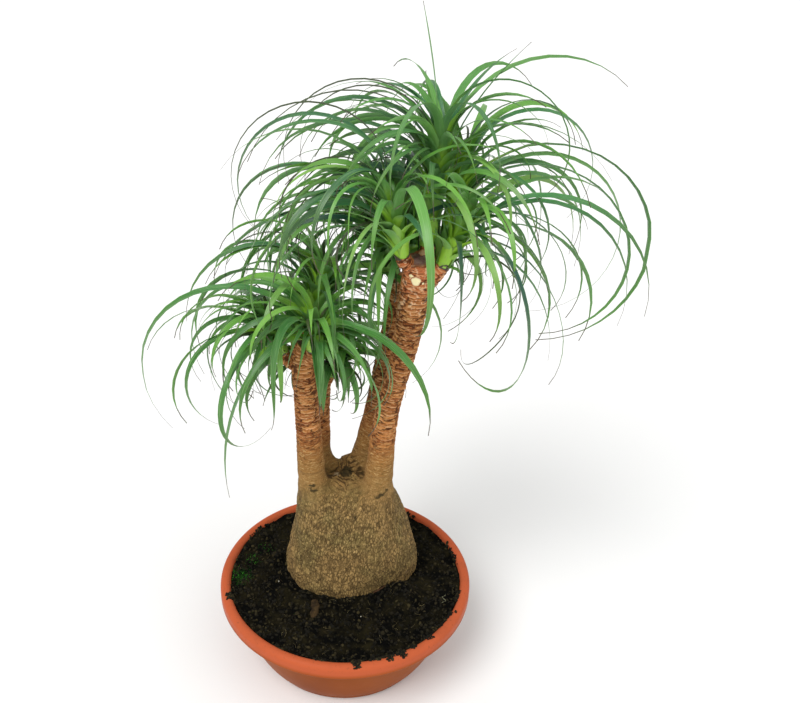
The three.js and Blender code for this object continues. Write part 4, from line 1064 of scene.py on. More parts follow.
# Loose peat and dry roots are dull and brown, and moss is soft and green, each bit darker or lighter
# kind, ground's wish, pieces a square metre, smallest and largest, most lean, seed, name, dark, light, slot
STREWN = [
    ("crumb", "crumbs", 36000, (0.0006, 0.0006, 0.0005), (0.0033, 0.0033, 0.0024), 3.14, 11,
     "loose peat crumbs", "#080806", "#37301a", "peat"),
    ("fibre", "fibres", 3600, (0.003, 0.003, 0.003), (0.009, 0.009, 0.009), 0.3, 23,
     "dry root fibre", "#241b0f", "#9c8d62", "peat"),
    ("tuft", "moss", 1100000, (0.0010, 0.0010, 0.0008), (0.0030, 0.0030, 0.0022), 0.9, 37,
     "fresh green moss", "#143c12", "#4a9a2a", "leaf"),
]
for kind, wish, density, smallest, largest, lean, seed, finish, dark, light, slot in STREWN:
    matter, tree, shader = new_material(finish)
    tint = add_node(tree, "ShaderNodeAttribute", attribute_name="tint").outputs["Fac"]
    tint = add_node(tree, "ShaderNodeMath", tint, 3.5, operation="POWER")
    place = add_node(tree, "ShaderNodeTexCoord").outputs["Object"]
    stain = add_node(tree, "ShaderNodeTexNoise", {"Vector": place, "Scale": 600.0, "Detail": 2.0})
    tint = add_node(tree, "ShaderNodeMath", stain, 0.2, tint, operation="MULTIPLY_ADD")
    colour = add_node(tree, "ShaderNodeMix", {0: tint, 6: linear(dark), 7: linear(light)}, data_type="RGBA")
    feed(shader, {"Base Color": colour, "Roughness": 0.9, "Specular IOR Level": 0.2})

    strewing, given = new_tree(
        "strewn " + kind,
        {
            "Matter": "Material", "Smallest": "Vector", "Largest": "Vector", "Density": "Float",
            "Lean": "Float", "Seed": "Int",
        },
    )
    wished = add_node(strewing, "GeometryNodeInputNamedAttribute", wish, data_type="FLOAT")
    crowd = add_node(strewing, "ShaderNodeMath", wished, given["Density"], operation="MULTIPLY")
    spots = add_node(
        strewing, "GeometryNodeDistributePointsOnFaces",
        {"Mesh": given["Geometry"], "Density": crowd, "Seed": given["Seed"]},
    )
    if kind == "crumb":
        shape = add_node(strewing, "GeometryNodeMeshIcoSphere", {"Radius": 1.0, "Subdivisions": 1})
    elif kind == "fibre":
        bend = {"Resolution": 5, "Radius": 1.0, "Sweep Angle": 1.4}
        thread = add_node(strewing, "GeometryNodeCurveArc", bend)
        round_end = add_node(
            strewing, "GeometryNodeCurvePrimitiveCircle", {"Resolution": 3, "Radius": 0.022}
        )
        shape = add_node(
            strewing, "GeometryNodeCurveToMesh",
            {"Curve": thread, "Profile Curve": round_end, "Fill Caps": True},
        )
    else:
        spike = {"Vertices": 3, "Radius Top": 0.02, "Radius Bottom": 0.16, "Depth": 1.0}
        shape = add_node(strewing, "GeometryNodeMeshCone", spike)
    turn = add_node(
        strewing, "FunctionNodeRandomValue",
        {0: (0, 0, -math.pi), 1: (0, 0, math.pi), "Seed": given["Seed"]}, data_type="FLOAT_VECTOR",
    )
    least_lean = add_node(strewing, "ShaderNodeMath", given["Lean"], -1.0, operation="MULTIPLY")
    low_lean = add_node(strewing, "ShaderNodeCombineXYZ", least_lean, least_lean)
    high_lean = add_node(strewing, "ShaderNodeCombineXYZ", given["Lean"], given["Lean"])
    leaning = add_node(
        strewing, "FunctionNodeRandomValue", {0: low_lean, 1: high_lean, "Seed": given["Seed"]},
        data_type="FLOAT_VECTOR",
    )
    turned = add_node(
        strewing, "FunctionNodeRotateRotation", spots.outputs["Rotation"], turn, rotation_space="LOCAL"
    )
    turned = add_node(strewing, "FunctionNodeRotateRotation", turned, leaning, rotation_space="LOCAL")
    spread_sizes = {0: given["Smallest"], 1: given["Largest"], "Seed": given["Seed"]}
    sizes = add_node(strewing, "FunctionNodeRandomValue", spread_sizes, data_type="FLOAT_VECTOR")
    bits = add_node(
        strewing, "GeometryNodeInstanceOnPoints",
        {"Points": spots, "Instance": shape, "Rotation": turned, "Scale": sizes},
    )
    chance = add_node(strewing, "FunctionNodeRandomValue", {"Seed": given["Seed"]}, data_type="FLOAT")
    bits = add_node(
        strewing, "GeometryNodeStoreNamedAttribute", {"Geometry": bits, "Name": "tint", "Value": chance},
        data_type="FLOAT", domain="INSTANCE",
    )
    end_tree(strewing, bits, given["Matter"])
    ground = show("ground_for_" + wish, ground_mesh)
    wishes = {
        "Density": float(density), "Lean": lean, "Seed": seed, "Smallest": smallest, "Largest": largest
    }
    strewn = worked("strewn_" + wish, ground, strewing, {**wishes, "Matter": matter})
    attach(strewn, "root")

# Litter on the peat: a chip and a strip of fallen bark, grains of perlite and a loose pale thread. The strip
# has come off along the line where the peat meets the foot.
STRIP = {"compass": (-62, -56, -50, -45), "height": 112, "off_skin": 2.0}
strip_ways = np.array([level_way(compass) for compass in STRIP["compass"]])
strip = skin_points(foot_middle(STRIP["height"]), strip_ways, RAY["foot"]) + STRIP["off_skin"] * strip_ways
# name, material, half width, half thickness, colour, slot, its middle line
LITTER = [
    ("bark_chip", "weathered pine bark", 5.4, 3.0, "#46361f", "bark",
     [(-38, -47, 107.5), (-35, -60, 109), (-37, -75, 107)]),
    ("bark_strip", "rotted bark strip", 1.3, 0.8, "#4a3220", "bark", strip + [0, 0, -4.5]),
    ("perlite_grain_1", "expanded perlite", 0.9, 0.8, "#d8d4c6", "peat",
     [(-88.8, -14, 109), (-88, -14, 109.3), (-87.2, -14, 109)]),
    ("perlite_grain_2", "stained perlite", 0.7, 0.6, "#b8b4a2", "peat",
     [(23.4, -75, 109), (24, -75, 109.3), (24.6, -75, 109)]),
    ("pale_thread", "dried rootlet", 0.32, 0.3, "#9c9c7c", "peat",
     [(127, -44, 110), (133, -39, 110.5), (127.5, -34, 110), (133, -29, 110)]),
]
LITTER_STAIN = "#21180f"
LITTER_RINGS = 17
LITTER_WAYS = 10
for order, (name, finish, wide, thick, tone, slot, line) in enumerate(LITTER):
    line = np.array(line, float)
    share = np.linspace(0, 1, LITTER_RINGS)
    spine = np.stack(
        [np.interp(share * (len(line) - 1), np.arange(len(line)), line[:, k]) for k in range(3)], axis=1
    )
    spine[:, 2] += peat_height(spine[:, 0], spine[:, 1]) - PEAT["level"]
    ways = np.gradient(spine, axis=0)
    ways /= np.linalg.norm(ways, axis=1)[:, None]
    across = np.cross(ways, [0, 0, 1.0])
    across /= np.linalg.norm(across, axis=1)[:, None]
    above = np.cross(across, ways)
    bulge = np.sqrt(np.clip(1 - (2 * share - 1) ** 4, 0.02, 1)) * (1 + 0.12 * np.sin(19 * share + order))
    turns = full_turn(LITTER_WAYS)
    rings = (wide * bulge)[:, None, None] * np.cos(turns)[None, :, None] * across[:, None, :]
    rings = spine[:, None, :] + rings
    rings += (thick * bulge)[:, None, None] * np.sin(turns)[None, :, None] * above[:, None, :]
    litter_mesh = closed_skin(name, rings[:, ::-1], spine[0], spine[-1])
    matter, tree, shader = new_material(finish)
    place = add_node(tree, "ShaderNodeTexCoord").outputs["Object"]
    stain = add_node(
        tree, "ShaderNodeTexNoise", {"Vector": place, "Scale": 150.0, "Detail": 5.0, "Roughness": 0.7}
    )
    worn = add_node(tree, "ShaderNodeMapRange", stain, 0.42, 0.6, 0.0, 0.9)
    colour = add_node(
        tree, "ShaderNodeMix", {0: worn, 6: linear(tone), 7: linear(LITTER_STAIN)}, data_type="RGBA"
    )
    pits = add_node(tree, "ShaderNodeBump", {"Strength": 1.0, "Distance": 0.002, "Height": stain})
    feed(shader, {"Base Color": colour, "Normal": pits, "Roughness": 0.9, "Specular IOR Level": 0.15})
    litter_mesh.materials.append(matter)
    litter = show(name, litter_mesh)
    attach(litter, "root")

# The shoots: eleven heads of long strap leaves. Each leaf starts as a sheath that wraps its shoot, rises,
# arches over and curls under, and dries to a brown thread at its tip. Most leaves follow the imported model's
# own rule, and the rest are younger or thinner ones that fill the heads.
SHOOT_RADIUS = 7.5
COLLAR_RADIUS = 8.5
# stem, base, where the leaves spread, the longest leaf, the way that points out of the crown
SHOOTS = {
    "shoot_right_left": ("front_right", (57, -13, 586), (40, -20, 656), 320, 200),
    "shoot_right_side": ("front_right", (102, -5, 573), (128, -4, 642), 320, -10),
    "shoot_right_top": ("front_right", (85, 14, 588), (95, 32, 712), 300, 90),
    "shoot_right_rear": ("front_right", (100, 17, 560), (120, 35, 682), 340, 30),
    "shoot_behind_left": ("back_right", (48, 56, 532), (18, 62, 600), 300, 170),
    "shoot_behind_right": ("back_right", (67, 71, 534), (72, 92, 612), 300, 70),
    "shoot_left_front": ("front_left", (-39, -17, 467), (-38, -24, 516), 230, -80),
    "shoot_left_side": ("front_left", (-79, -2, 452), (-94, -3, 500), 230, 180),
    "shoot_left_top": ("front_left", (-49, 15, 476), (-28, 36, 556), 250, 120),
    "shoot_low_right": ("back_left", (-27, 46, 396), (-12, 47, 434), 160, 10),
    "shoot_low_left": ("back_left", (-49, 60, 396), (-68, 78, 448), 200, 140),
}
LEAVES_PER_SHOOT = 22
LEAF = {"width": 9.0, "root_width": 0.6, "widest_at": 0.12, "taper": 2.2, "sink": 4.0}
MIDRIB = {"fine": 6, "bend_per_node": 33, "fewest": 4, "most": 8}
# Leaves that give the crown its outline: azimuth, rise, bend, length, width, root height, drift
OUTLINE_LEAVES = [
    ("shoot_right_rear", 0, 52, 212, 442, 10, 0.8),
    ("shoot_right_rear", -10, 62, 218, 385, 11, 0.6),
    ("shoot_right_rear", 5, 75, 240, 400, 9, 0.5),
    ("shoot_left_front", 178, 44, 165, 336, 10, 0.9),
    ("shoot_right_left", 180, 100, 238, 325, 8, 0.9),
    ("shoot_right_top", 170, 84, 8, 140, 8, 0.95),
    ("shoot_right_top", 5, 72, 26, 147, 9, 0.7),
    ("shoot_right_top", 8, 92, 125, 250, 8, 0.7),
    ("shoot_right_top", -20, 98, 225, 263, 10, 0.9),
    ("shoot_right_rear", 15, 100, 168, 186, 8, 0.9),
    ("shoot_right_rear", 10, 85, 205, 258, 8, 0.9),
    ("shoot_right_side", -10, 62, 148, 285, 10, 0.5),
    ("shoot_right_side", 5, 36, 132, 271, 9, 0.8),
    ("shoot_right_side", -25, 62, 176, 195, 9, 0.6),
    ("shoot_right_side", -60, 34, 222, 340, 9, 0.6),
    ("shoot_right_left", -75, 80, 232, 300, 12, 0.6),
    ("shoot_right_top", -115, 100, 215, 220, 11, 0.8),
    ("shoot_right_top", 185, 92, 178, 260, 9, 0.6),
    ("shoot_right_top", 190, 95, 140, 222, 9, 0.5),
    ("shoot_right_left", 190, 105, 165, 235, 8, 0.7),
    ("shoot_behind_left", 180, 80, 186, 257, 9, 0.9),
    ("shoot_behind_left", 190, 30, 92, 200, 9, 0.9),
    ("shoot_left_top", 190, 48, 130, 204, 10, 0.9),
    ("shoot_right_left", 210, 70, 165, 190, 12, 0.6),
    ("shoot_right_left", 230, 100, 210, 218, 9, 0.6),
    ("shoot_left_front", -20, 20, 110, 200, 12, 0.8),
    ("shoot_left_front", -85, 10, 100, 105, 10, 0.6, 20),
    ("shoot_left_front", -120, 60, 170, 190, 10, 0.6, 60),
    ("shoot_left_side", 180, 42, 105, 160, 9, 0.7),
    ("shoot_left_side", 200, 32, 176, 200, 10, 0.5),
    ("shoot_left_side", 195, -50, 45, 215, 9, 0.3),
    ("shoot_left_side", 240, 30, 215, 244, 8, 0.4),
    ("shoot_low_left", 215, -10, 60, 80, 9, 0.3),
    ("shoot_low_left", 190, 10, 115, 127, 9, 0.8),
    ("shoot_left_top", -2, 45, 175, 250, 8, 0.6),
]
# Thin withered leaves that loop out of the crown's upper left: azimuth, rise, bend, length, width
LOOPS = [
    ("shoot_right_left", 182, 106, 236, 338, 3.6),
    ("shoot_behind_left", 180, 80, 235, 325, 3.2),
    ("shoot_right_top", 182, 78, 180, 262, 3.6),
    ("shoot_right_top", 176, 76, 165, 218, 3.4),
    ("shoot_right_top", 192, 62, 122, 236, 3.2),
    ("shoot_right_left", 200, 88, 250, 250, 3.0),
    ("shoot_left_top", 178, 70, 230, 235, 3.0),
]
# Leaves that stand up out of the crown before they arch over: azimuth, rise, bend, length, width, tint
CREST = [
    ("shoot_right_top", 150, 92, 165, 165, 9.0, 0.35),
    ("shoot_right_top", -65, 97, 185, 185, 9.5, 0.45),
    ("shoot_right_top", 30, 80, 60, 128, 10.0, 0.3),
    ("shoot_right_top", 100, 88, 150, 150, 10.0, 0.4),
]
# How near leaves come to each other and to the wood
BEAD = {"step": 7.0, "margin": 0.7, "crowded": 32.0, "bud_margin": 2.5, "search": 24.0}
PACKED_GAPS = {"own": 5.0, "least": 6.2, "skin": 0.8}
FILLER_GAPS = {"own": 2.6, "least": 3.2, "skin": -2.0}
WOOD_GAP = {"beside": 5.0, "above": 6.0}
DEEPEST = 150.0
GOLDEN_ANGLE = 137.508
TRIES = 16
FILLERS_PER_SHOOT = 46
FILLER_TRIES = 7
CURLED_SHARE = 0.28
WITHERED_SHARE = 0.45
# Two shoots on the right have fewer fillers, and the crown's upper left has more
THINNED = ("shoot_right_side", "shoot_right_rear")
# shoot, how many more leaves, the way they lean
THICKER = [
    ("shoot_right_left", 40, 188), ("shoot_right_top", 60, 186), ("shoot_behind_left", 34, 180),
    ("shoot_left_top", 12, 165), ("shoot_right_rear", 30, 170),
]
# no filler hangs here: in front of the front right stem's scarred top and the two necks beside it, in front
# of the front left stem's top, and in front of the neck that stands behind it
BARE = [
    ((34, -140, 470), (120, -22, 652)), ((-84, -140, 350), (-28, -14, 462)),
    ((-58, -60, 522), (-14, 10, 600)),
]
BOX_MARGIN = 1.5
FILLER_SEED = 500009


def draw(seed):
    """A number from 0 to 1 that depends on a whole number alone."""
    mask = 0xFFFFFFFF
    a = (int(seed) + 0x6D2B79F5) & mask
    a = ((a ^ (a >> 15)) * (1 | a)) & mask
    a = ((a + (((a ^ (a >> 7)) * (61 | a)) & mask)) & mask) ^ a
    return (a ^ (a >> 14)) / 4294967296


def leaf_draws(order, i, attempt, first=0):
    """The seed of a leaf's draws, and six of them from -1 to 1 for what varies from leaf to leaf."""
    seed = first + 9176 * order + 131 * i + 7 * attempt
    return seed, [2 * draw(seed + 100003 * k) - 1 for k in range(6)]


def shoot_axis(shoot):
    """A shoot's base, its direction and its length up to where the leaves spread."""
    base = np.array(SHOOTS[shoot][1], float)
    way = np.array(SHOOTS[shoot][2], float) - base
    length = np.linalg.norm(way)
    return base, way / length, length


def leaf_path(shoot, leaf, beyond=0.0):
    """A leaf's midrib in fine steps, which may run on beyond the blade as a thread."""
    base, way, length = shoot_axis(shoot)
    root = base + way * leaf["height"] * length + level_way(leaf["azimuth"]) * (SHOOT_RADIUS - LEAF["sink"])
    nodes = math.floor(leaf["bend"] / MIDRIB["bend_per_node"] + 0.5)
    steps = MIDRIB["fine"] * min(max(nodes, MIDRIB["fewest"]), MIDRIB["most"])
    u = (np.arange(round(steps * (1 + beyond))) + 0.5) / steps
    pitch = np.radians(leaf["rise"] - leaf["bend"] * u)
    turn = np.radians(leaf["azimuth"] + leaf["drift"] * u ** 1.5)
    strides = np.stack([np.cos(pitch) * np.cos(turn), np.cos(pitch) * np.sin(turn), np.sin(pitch)], axis=1)
    return np.vstack([root, root + np.cumsum(strides * leaf["length"] / steps, axis=0)])


def leaf_width(u):
    """Share of the full width: narrow at the root, widest soon after, then a slow taper to the tip."""
    u = np.asarray(u, float)
    widening = LEAF["root_width"] + (1 - LEAF["root_width"]) * u / LEAF["widest_at"]
    taper = 1 - (np.maximum(u - LEAF["widest_at"], 0) / (1 - LEAF["widest_at"])) ** LEAF["taper"]
    return np.where(u < LEAF["widest_at"], widening, taper)


def wood_top(points):
    """The height where the stem nearest to each point is cut."""
    gaps = np.stack([stem_distance(stem, points) for stem in STEMS], axis=1)
    tops = []
    for _, slope, rows in STEMS.values():
        z, x, y = rows[-1][:3]
        tops.append(z + slope[0] * (points[:, 0] - x) + slope[1] * (points[:, 1] - y))
    return np.stack(tops, axis=1)[np.arange(len(points)), gaps.argmin(axis=1)]


# the room that leaves take: x, y, z, radius, owner and whether it is crowded, one row for each bead
placed = np.zeros((60000, 6))
placed_count = 0


def keep_beads(points, *facts):
    """Remembers the room that a leaf takes."""
    global placed_count
    rows = placed[placed_count:placed_count + len(points)]
    rows[:, :3] = points
    for column, fact in enumerate(facts, 3):
        rows[:, column] = fact
    placed_count += len(points)


def place_leaf(shoot, leaf, gaps, chosen=False):
    """Gives a leaf its path if it comes clear of the wood and of the leaves before it."""
    path = leaf_path(shoot, leaf)
    line = path[:: MIDRIB["fine"]]
    if not chosen and line[-1, 2] < SHOOTS[shoot][2][2] - DEEPEST:
        return False
    last = len(line) - 1
    points = []
    shares = []
    for i in range(last):
        count = max(1, math.ceil(np.linalg.norm(line[i + 1] - line[i]) / BEAD["step"]))
        k = np.arange(count)[:, None] / count
        points.append(line[i] + (line[i + 1] - line[i]) * k)
        shares.append((i + k[:, 0]) / last)
    points = np.vstack(points + [line[-1:]])
    radii = np.append(0.5 * leaf["width"] * leaf_width(np.concatenate(shares)) + BEAD["margin"], 1.0)
    crowded = chosen | (np.linalg.norm(points - line[0], axis=1) < BEAD["crowded"])
    crowded[-1] = chosen
    at_wood = bark_distance(points) < WOOD_GAP["beside"]
    if (at_wood & (points[:, 2] < wood_top(points) + WOOD_GAP["above"])).any():
        return False
    known = placed[:placed_count]
    low = line.min(axis=0) - BEAD["search"]
    high = line.max(axis=0) + BEAD["search"]
    near = known[((known[:, :3] >= low) & (known[:, :3] <= high)).all(axis=1)]
    owner = list(SHOOTS).index(shoot)
    own = (near[:, 4] == owner)[None, :]
    merging = own & (crowded[:, None] | (near[:, 5] > 0)[None, :])
    apart = np.maximum(radii[:, None] + near[:, 3][None, :] + gaps["skin"], gaps["least"])
    apart = np.where(own, gaps["own"], apart)
    distance = np.linalg.norm(points[:, None, :] - near[None, :, :3], axis=2)
    if ((distance <= apart) & ~merging).any():
        return False
    keep_beads(points, radii, owner, crowded)
    leaves[shoot].append({**leaf, "path": path})
    return True


leaves = {shoot: [] for shoot in SHOOTS}
for order, shoot in enumerate(SHOOTS):
    base, way, length = shoot_axis(shoot)
    up = np.arange(-COLLAR_RADIUS, length, BEAD["step"])
    keep_beads(base + up[:, None] * way, SHOOT_RADIUS + BEAD["bud_margin"], order, True)
LEAF_FACTS = ("azimuth", "rise", "bend", "length", "width", "height", "drift", "twist", "young", "tint")
for shoot, azimuth, rise, bend, length, width, height, *drift in OUTLINE_LEAVES:
    facts = (
        azimuth, rise, bend, length, width, height, *(drift or [0]), 0, 0.4,
        draw(azimuth + 7 * rise + length),
    )
    place_leaf(shoot, dict(zip(LEAF_FACTS, facts)), PACKED_GAPS, chosen=True)


def inward_and_towards(azimuth, facing):
    """How far a leaf points into the crown, and how far towards the front, each from 0 to 1."""
    inward = 0.5 - 0.5 * math.cos(math.radians(azimuth - facing))
    return inward, max(0, -math.sin(math.radians(azimuth))) ** 2


for i in range(LEAVES_PER_SHOOT):
    young = (i + 0.5) / LEAVES_PER_SHOOT
    for order, (shoot, (_, _, _, reach, facing)) in enumerate(SHOOTS.items()):
        for attempt in range(TRIES):
            seed, spread = leaf_draws(order, i, attempt)
            azimuth = 53 * order + GOLDEN_ANGLE * i + (6 + 4 * attempt) * spread[1]
            inward, towards = inward_and_towards(azimuth, facing)
            rise = 24 + 58 * young + 22 * inward * (1 - young) + (8 + attempt) * spread[2]
            end_pitch = -140 + 90 * young + 30 * spread[3]
            length = reach * (1 - 0.45 * young) * (0.84 + 0.2 * draw(seed + 17)) * (1 - 0.4 * towards)
            width = LEAF["width"] * (0.82 + 0.3 * draw(seed + 29))
            facts = azimuth, rise, rise - end_pitch, length, width, 0.3 + 0.66 * young
            facts += 30 * spread[4], 35 * spread[5], young, draw(seed + 41)
            if place_leaf(shoot, dict(zip(LEAF_FACTS, facts)), PACKED_GAPS):
                break

# The fillers: thinner and shorter leaves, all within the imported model's box
fill_low = np.array(cad_box[0]) / MM + BOX_MARGIN
fill_high = np.array(cad_box[1]) / MM - BOX_MARGIN
fillers = [
    (shoot, i, (i + 0.5) / FILLERS_PER_SHOOT, None)
    for i in range(FILLERS_PER_SHOOT) for shoot in SHOOTS if i % 3 or shoot not in THINNED
]
fillers += [
    (shoot, 100 + i, 0.85 * (i + 0.5) / count, lean) for shoot, count, lean in THICKER for i in range(count)
]
for shoot, *facts in LOOPS:
    place_leaf(shoot, dict(zip(LEAF_FACTS, (*facts, 0.9, 0, 0, -1, 0.2))), FILLER_GAPS, chosen=True)
for shoot, i, young, lean in fillers:
    order = list(SHOOTS).index(shoot)
    reach, facing = SHOOTS[shoot][3:]
    for attempt in range(FILLER_TRIES):
        seed, spread = leaf_draws(order, i, attempt, FILLER_SEED)
        azimuth = 29 + 53 * order + GOLDEN_ANGLE * i + (10 + 8 * attempt) * spread[1]
        if lean is not None:
            azimuth = lean + (45 + 5 * attempt) * spread[1]
        inward, towards = inward_and_towards(azimuth, facing)
        curled = draw(seed + 53) < (CURLED_SHARE if lean is None else 0.4)
        withered = curled and draw(seed + 61) < WITHERED_SHARE
        rise = 36 + 50 * young + 22 * inward * (1 - young) + (8 + 2 * attempt) * spread[2]
        end_pitch = -130 + 110 * young + 35 * spread[3] - (75 if curled else 0 if lean is None else 15)
        length = reach * (0.9 - 0.45 * young) * (0.55 + 0.42 * draw(seed + 17)) * (1 - 0.35 * towards)
        length *= 1 if lean is None else 1.2
        width = LEAF["width"] * (0.32 if curled else 0.55) * (1 + 0.9 * draw(seed + 29))
        width *= 0.6 if withered else 1
        facts = azimuth, rise, rise - end_pitch, length, width, 0.06 + 0.9 * young
        facts += (
            (85 if curled else 40) * spread[4], 50 * spread[5], -1 if withered else young, draw(seed + 41)
        )
        leaf = dict(zip(LEAF_FACTS, facts))
        path = leaf_path(shoot, leaf)
        veiling = any(((path > low) & (path < high)).all(axis=1).any() for low, high in BARE)
        if (path < fill_low).any() or (path > fill_high).any() or veiling:
            continue
        if place_leaf(shoot, leaf, FILLER_GAPS):
            break

for shoot, *facts, tint in CREST:
    place_leaf(shoot, dict(zip(LEAF_FACTS, (*facts, 0.85, 8, 20, 0.4, tint))), FILLER_GAPS, chosen=True)

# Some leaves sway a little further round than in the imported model, and leave the bud scar free
# shoot, number of the leaf, how far it turns
SWAYS = [("shoot_right_side", 6, 30), ("shoot_right_left", 7, -28)]
for shoot, number, sway in SWAYS:
    leaf = leaves[shoot][number]
    leaf["azimuth"] += sway
    leaf["path"] = leaf_path(shoot, leaf)

# A leaf's blade: its midrib carries the frame and the sizes from root to tip, and the Geometry Nodes tree
# draws a lens-shaped section along it, cupped round the shoot at the sheath and channelled further out.
SHEATH = {"length": 30.0, "half_width": 9.5, "fade": 45.0, "proud": 0.9, "tuck": 1.6}
CHANNEL = (6.5, 12.0)
FLAT_CUP = 1000.0
BLADE_THICKNESS = (0.75, 0.3)
THREAD = {"half_width": 0.5, "share": 0.08, "clear_of_wood": 2.0}
TWIST = {"more": 1.8, "least": 42.0}
BEND_PER_SEGMENT = 9.0
SEGMENTS = (12, 28)
# how far from the shoot's middle a sheath lies, by its height on the shoot
HUG = ([0, 0.35, 0.75, 1], [6.5, 8.1, 7.2, 4.1])
# the middle line is smoothed at these points, where the sheath turns into the blade
ROOT_POINTS = slice(3, 7)
# share of the shoot's length, radius
CORE_LEVELS = [(-0.02, 6.4), (0.02, 6.8), (0.35, 7.6), (0.75, 6.8), (0.97, 4.0), (1.06, 0.6)]


def blade_frames(path, azimuth, twist, along):
    """Sideways and upward directions along a midrib, turned as little as it asks, plus the leaf's twist."""
    ways = np.gradient(path, axis=0)
    ways /= np.linalg.norm(ways, axis=1)[:, None]
    side = np.array([-math.sin(math.radians(azimuth)), math.cos(math.radians(azimuth)), 0])
    sides = []
    for way, u in zip(ways, along):
        side = side - way * side.dot(way)
        side /= np.linalg.norm(side)
        turn = math.radians(twist * max(u, 0))
        sides.append(side * math.cos(turn) + np.cross(way, side) * math.sin(turn))
    sides = np.array(sides)
    return sides, np.cross(ways, sides)


def away_from_shoot(way, compass):
    """The direction out from a shoot, square to it."""
    out = level_way(compass)
    out -= way * out.dot(way)
    return out / np.linalg.norm(out)


def as_rib(spine, frames, sizes, growth):
    """A rib's facts for the leaf mesh: half width, cup and thickness, and place along it, youth and tint."""
    tables = [
        np.stack([np.zeros(len(spine)) + value for value in values], axis=1)
        for values in (sizes, growth)
    ]
    return spine, *frames, tables[0] * MM, tables[1]


def midrib(shoot, leaf):
    """A leaf as a rib, with its sheath in front."""
    base, way, length = shoot_axis(shoot)
    steps = len(leaf["path"]) - 1
    path = leaf_path(shoot, leaf, THREAD["share"])
    outside = (path < fill_low).any(axis=1) | (path > fill_high).any(axis=1)
    outside |= bark_distance(path) < THREAD["clear_of_wood"]
    outside[:steps + 1] = False
    last = int(np.argmax(outside)) - 1 if outside.any() else len(path) - 1
    count = int(np.clip(round(leaf["bend"] / BEND_PER_SEGMENT), *SEGMENTS))
    u = np.linspace(0, last / steps, count + 1)
    blade = np.stack(
        [np.interp(u * steps, np.arange(len(path)), path[:, axis]) for axis in range(3)], axis=1
    )
    out = away_from_shoot(way, leaf["azimuth"])
    hug = float(np.interp(leaf["height"], *HUG)) + SHEATH["proud"]
    from_root = u * leaf["length"]
    outward = (hug - SHOOT_RADIUS + LEAF["sink"]) * np.clip(1 - from_root / SHEATH["fade"], 0, 1) ** 2
    blade = blade + outward[:, None] * out
    reach = min(SHEATH["length"], leaf["height"] * length - 1)
    down = np.linspace(-reach, 0, 5)[:-1]
    foot = base + way * (leaf["height"] * length + down)[:, None]
    sheath = foot + out * (hug + SHEATH["tuck"] * down / SHEATH["length"])[:, None]
    spine = np.vstack([sheath, blade])
    for _ in range(3):
        middle = (spine[:-2] + spine[2:]) / 2
        spine[1:-1][ROOT_POINTS] = (spine[1:-1][ROOT_POINTS] + middle[ROOT_POINTS]) / 2
    along = np.concatenate([down / leaf["length"], u])
    travelled = np.concatenate([down, from_root])
    twist = TWIST["more"] * leaf["twist"] + (TWIST["least"] if leaf["tint"] > 0.5 else -TWIST["least"])
    sides, uppers = blade_frames(spine, leaf["azimuth"], twist, along)
    wrapped = np.clip(1 - np.maximum(travelled, 0) / SHEATH["fade"], 0, 1) ** 1.5
    half = np.maximum(0.5 * leaf["width"] * leaf_width(np.maximum(along, 0)), THREAD["half_width"])
    half += (min(SHEATH["half_width"], leaf["width"]) - 0.5 * leaf["width"] * LEAF["root_width"]) * wrapped
    channel = CHANNEL[0] + (CHANNEL[1] - CHANNEL[0]) * leaf["tint"]
    cup = channel + (hug + 0.5 - channel) * wrapped
    thick = np.interp(along, [0, 1], BLADE_THICKNESS) / 2
    dip = thick + cup * (1 - np.cos(half / cup))
    room = np.abs(sides) * half[:, None] + np.abs(uppers) * dip[:, None]
    spine = np.clip(spine, np.array(cad_box[0]) / MM + room, np.array(cad_box[1]) / MM - room)
    return as_rib(spine, (sides, uppers), (half, cup, thick), (along, leaf["young"], leaf["tint"]))


def core_rib(shoot):
    """The young heart that the sheaths wrap, as one more rib with a round section."""
    base, way, length = shoot_axis(shoot)
    levels, radii = np.array(CORE_LEVELS).T
    spine = base + way * (levels * length)[:, None]
    return as_rib(spine, blade_frames(spine, 0, 0, 0 * levels), (radii, FLAT_CUP, radii), (-0.1, 0.8, 0.5))


# The lowest leaves of a shoot are gone, but their short bases still clasp it, lime green down to a thin
# brown ring of dry scales at the collar. One leaf of the right side's shoot was cut off to a stub.
BASES = {"count": 7, "up_to": 0.3, "hug": 7.6, "half_width": 9.5, "shortest": 24.0, "spread": 26.0}
DRY_SCALES = {"count": 5, "hug": 7.9, "half_width": 6.0, "length": 7.0}
CLASP_POINTS = 9
CUT_STUB = (
    "shoot_right_side", [(105, -9, 574), (111, -11, 573.6), (117, -12, 572), (122.5, -12.5, 567)], 3.6
)


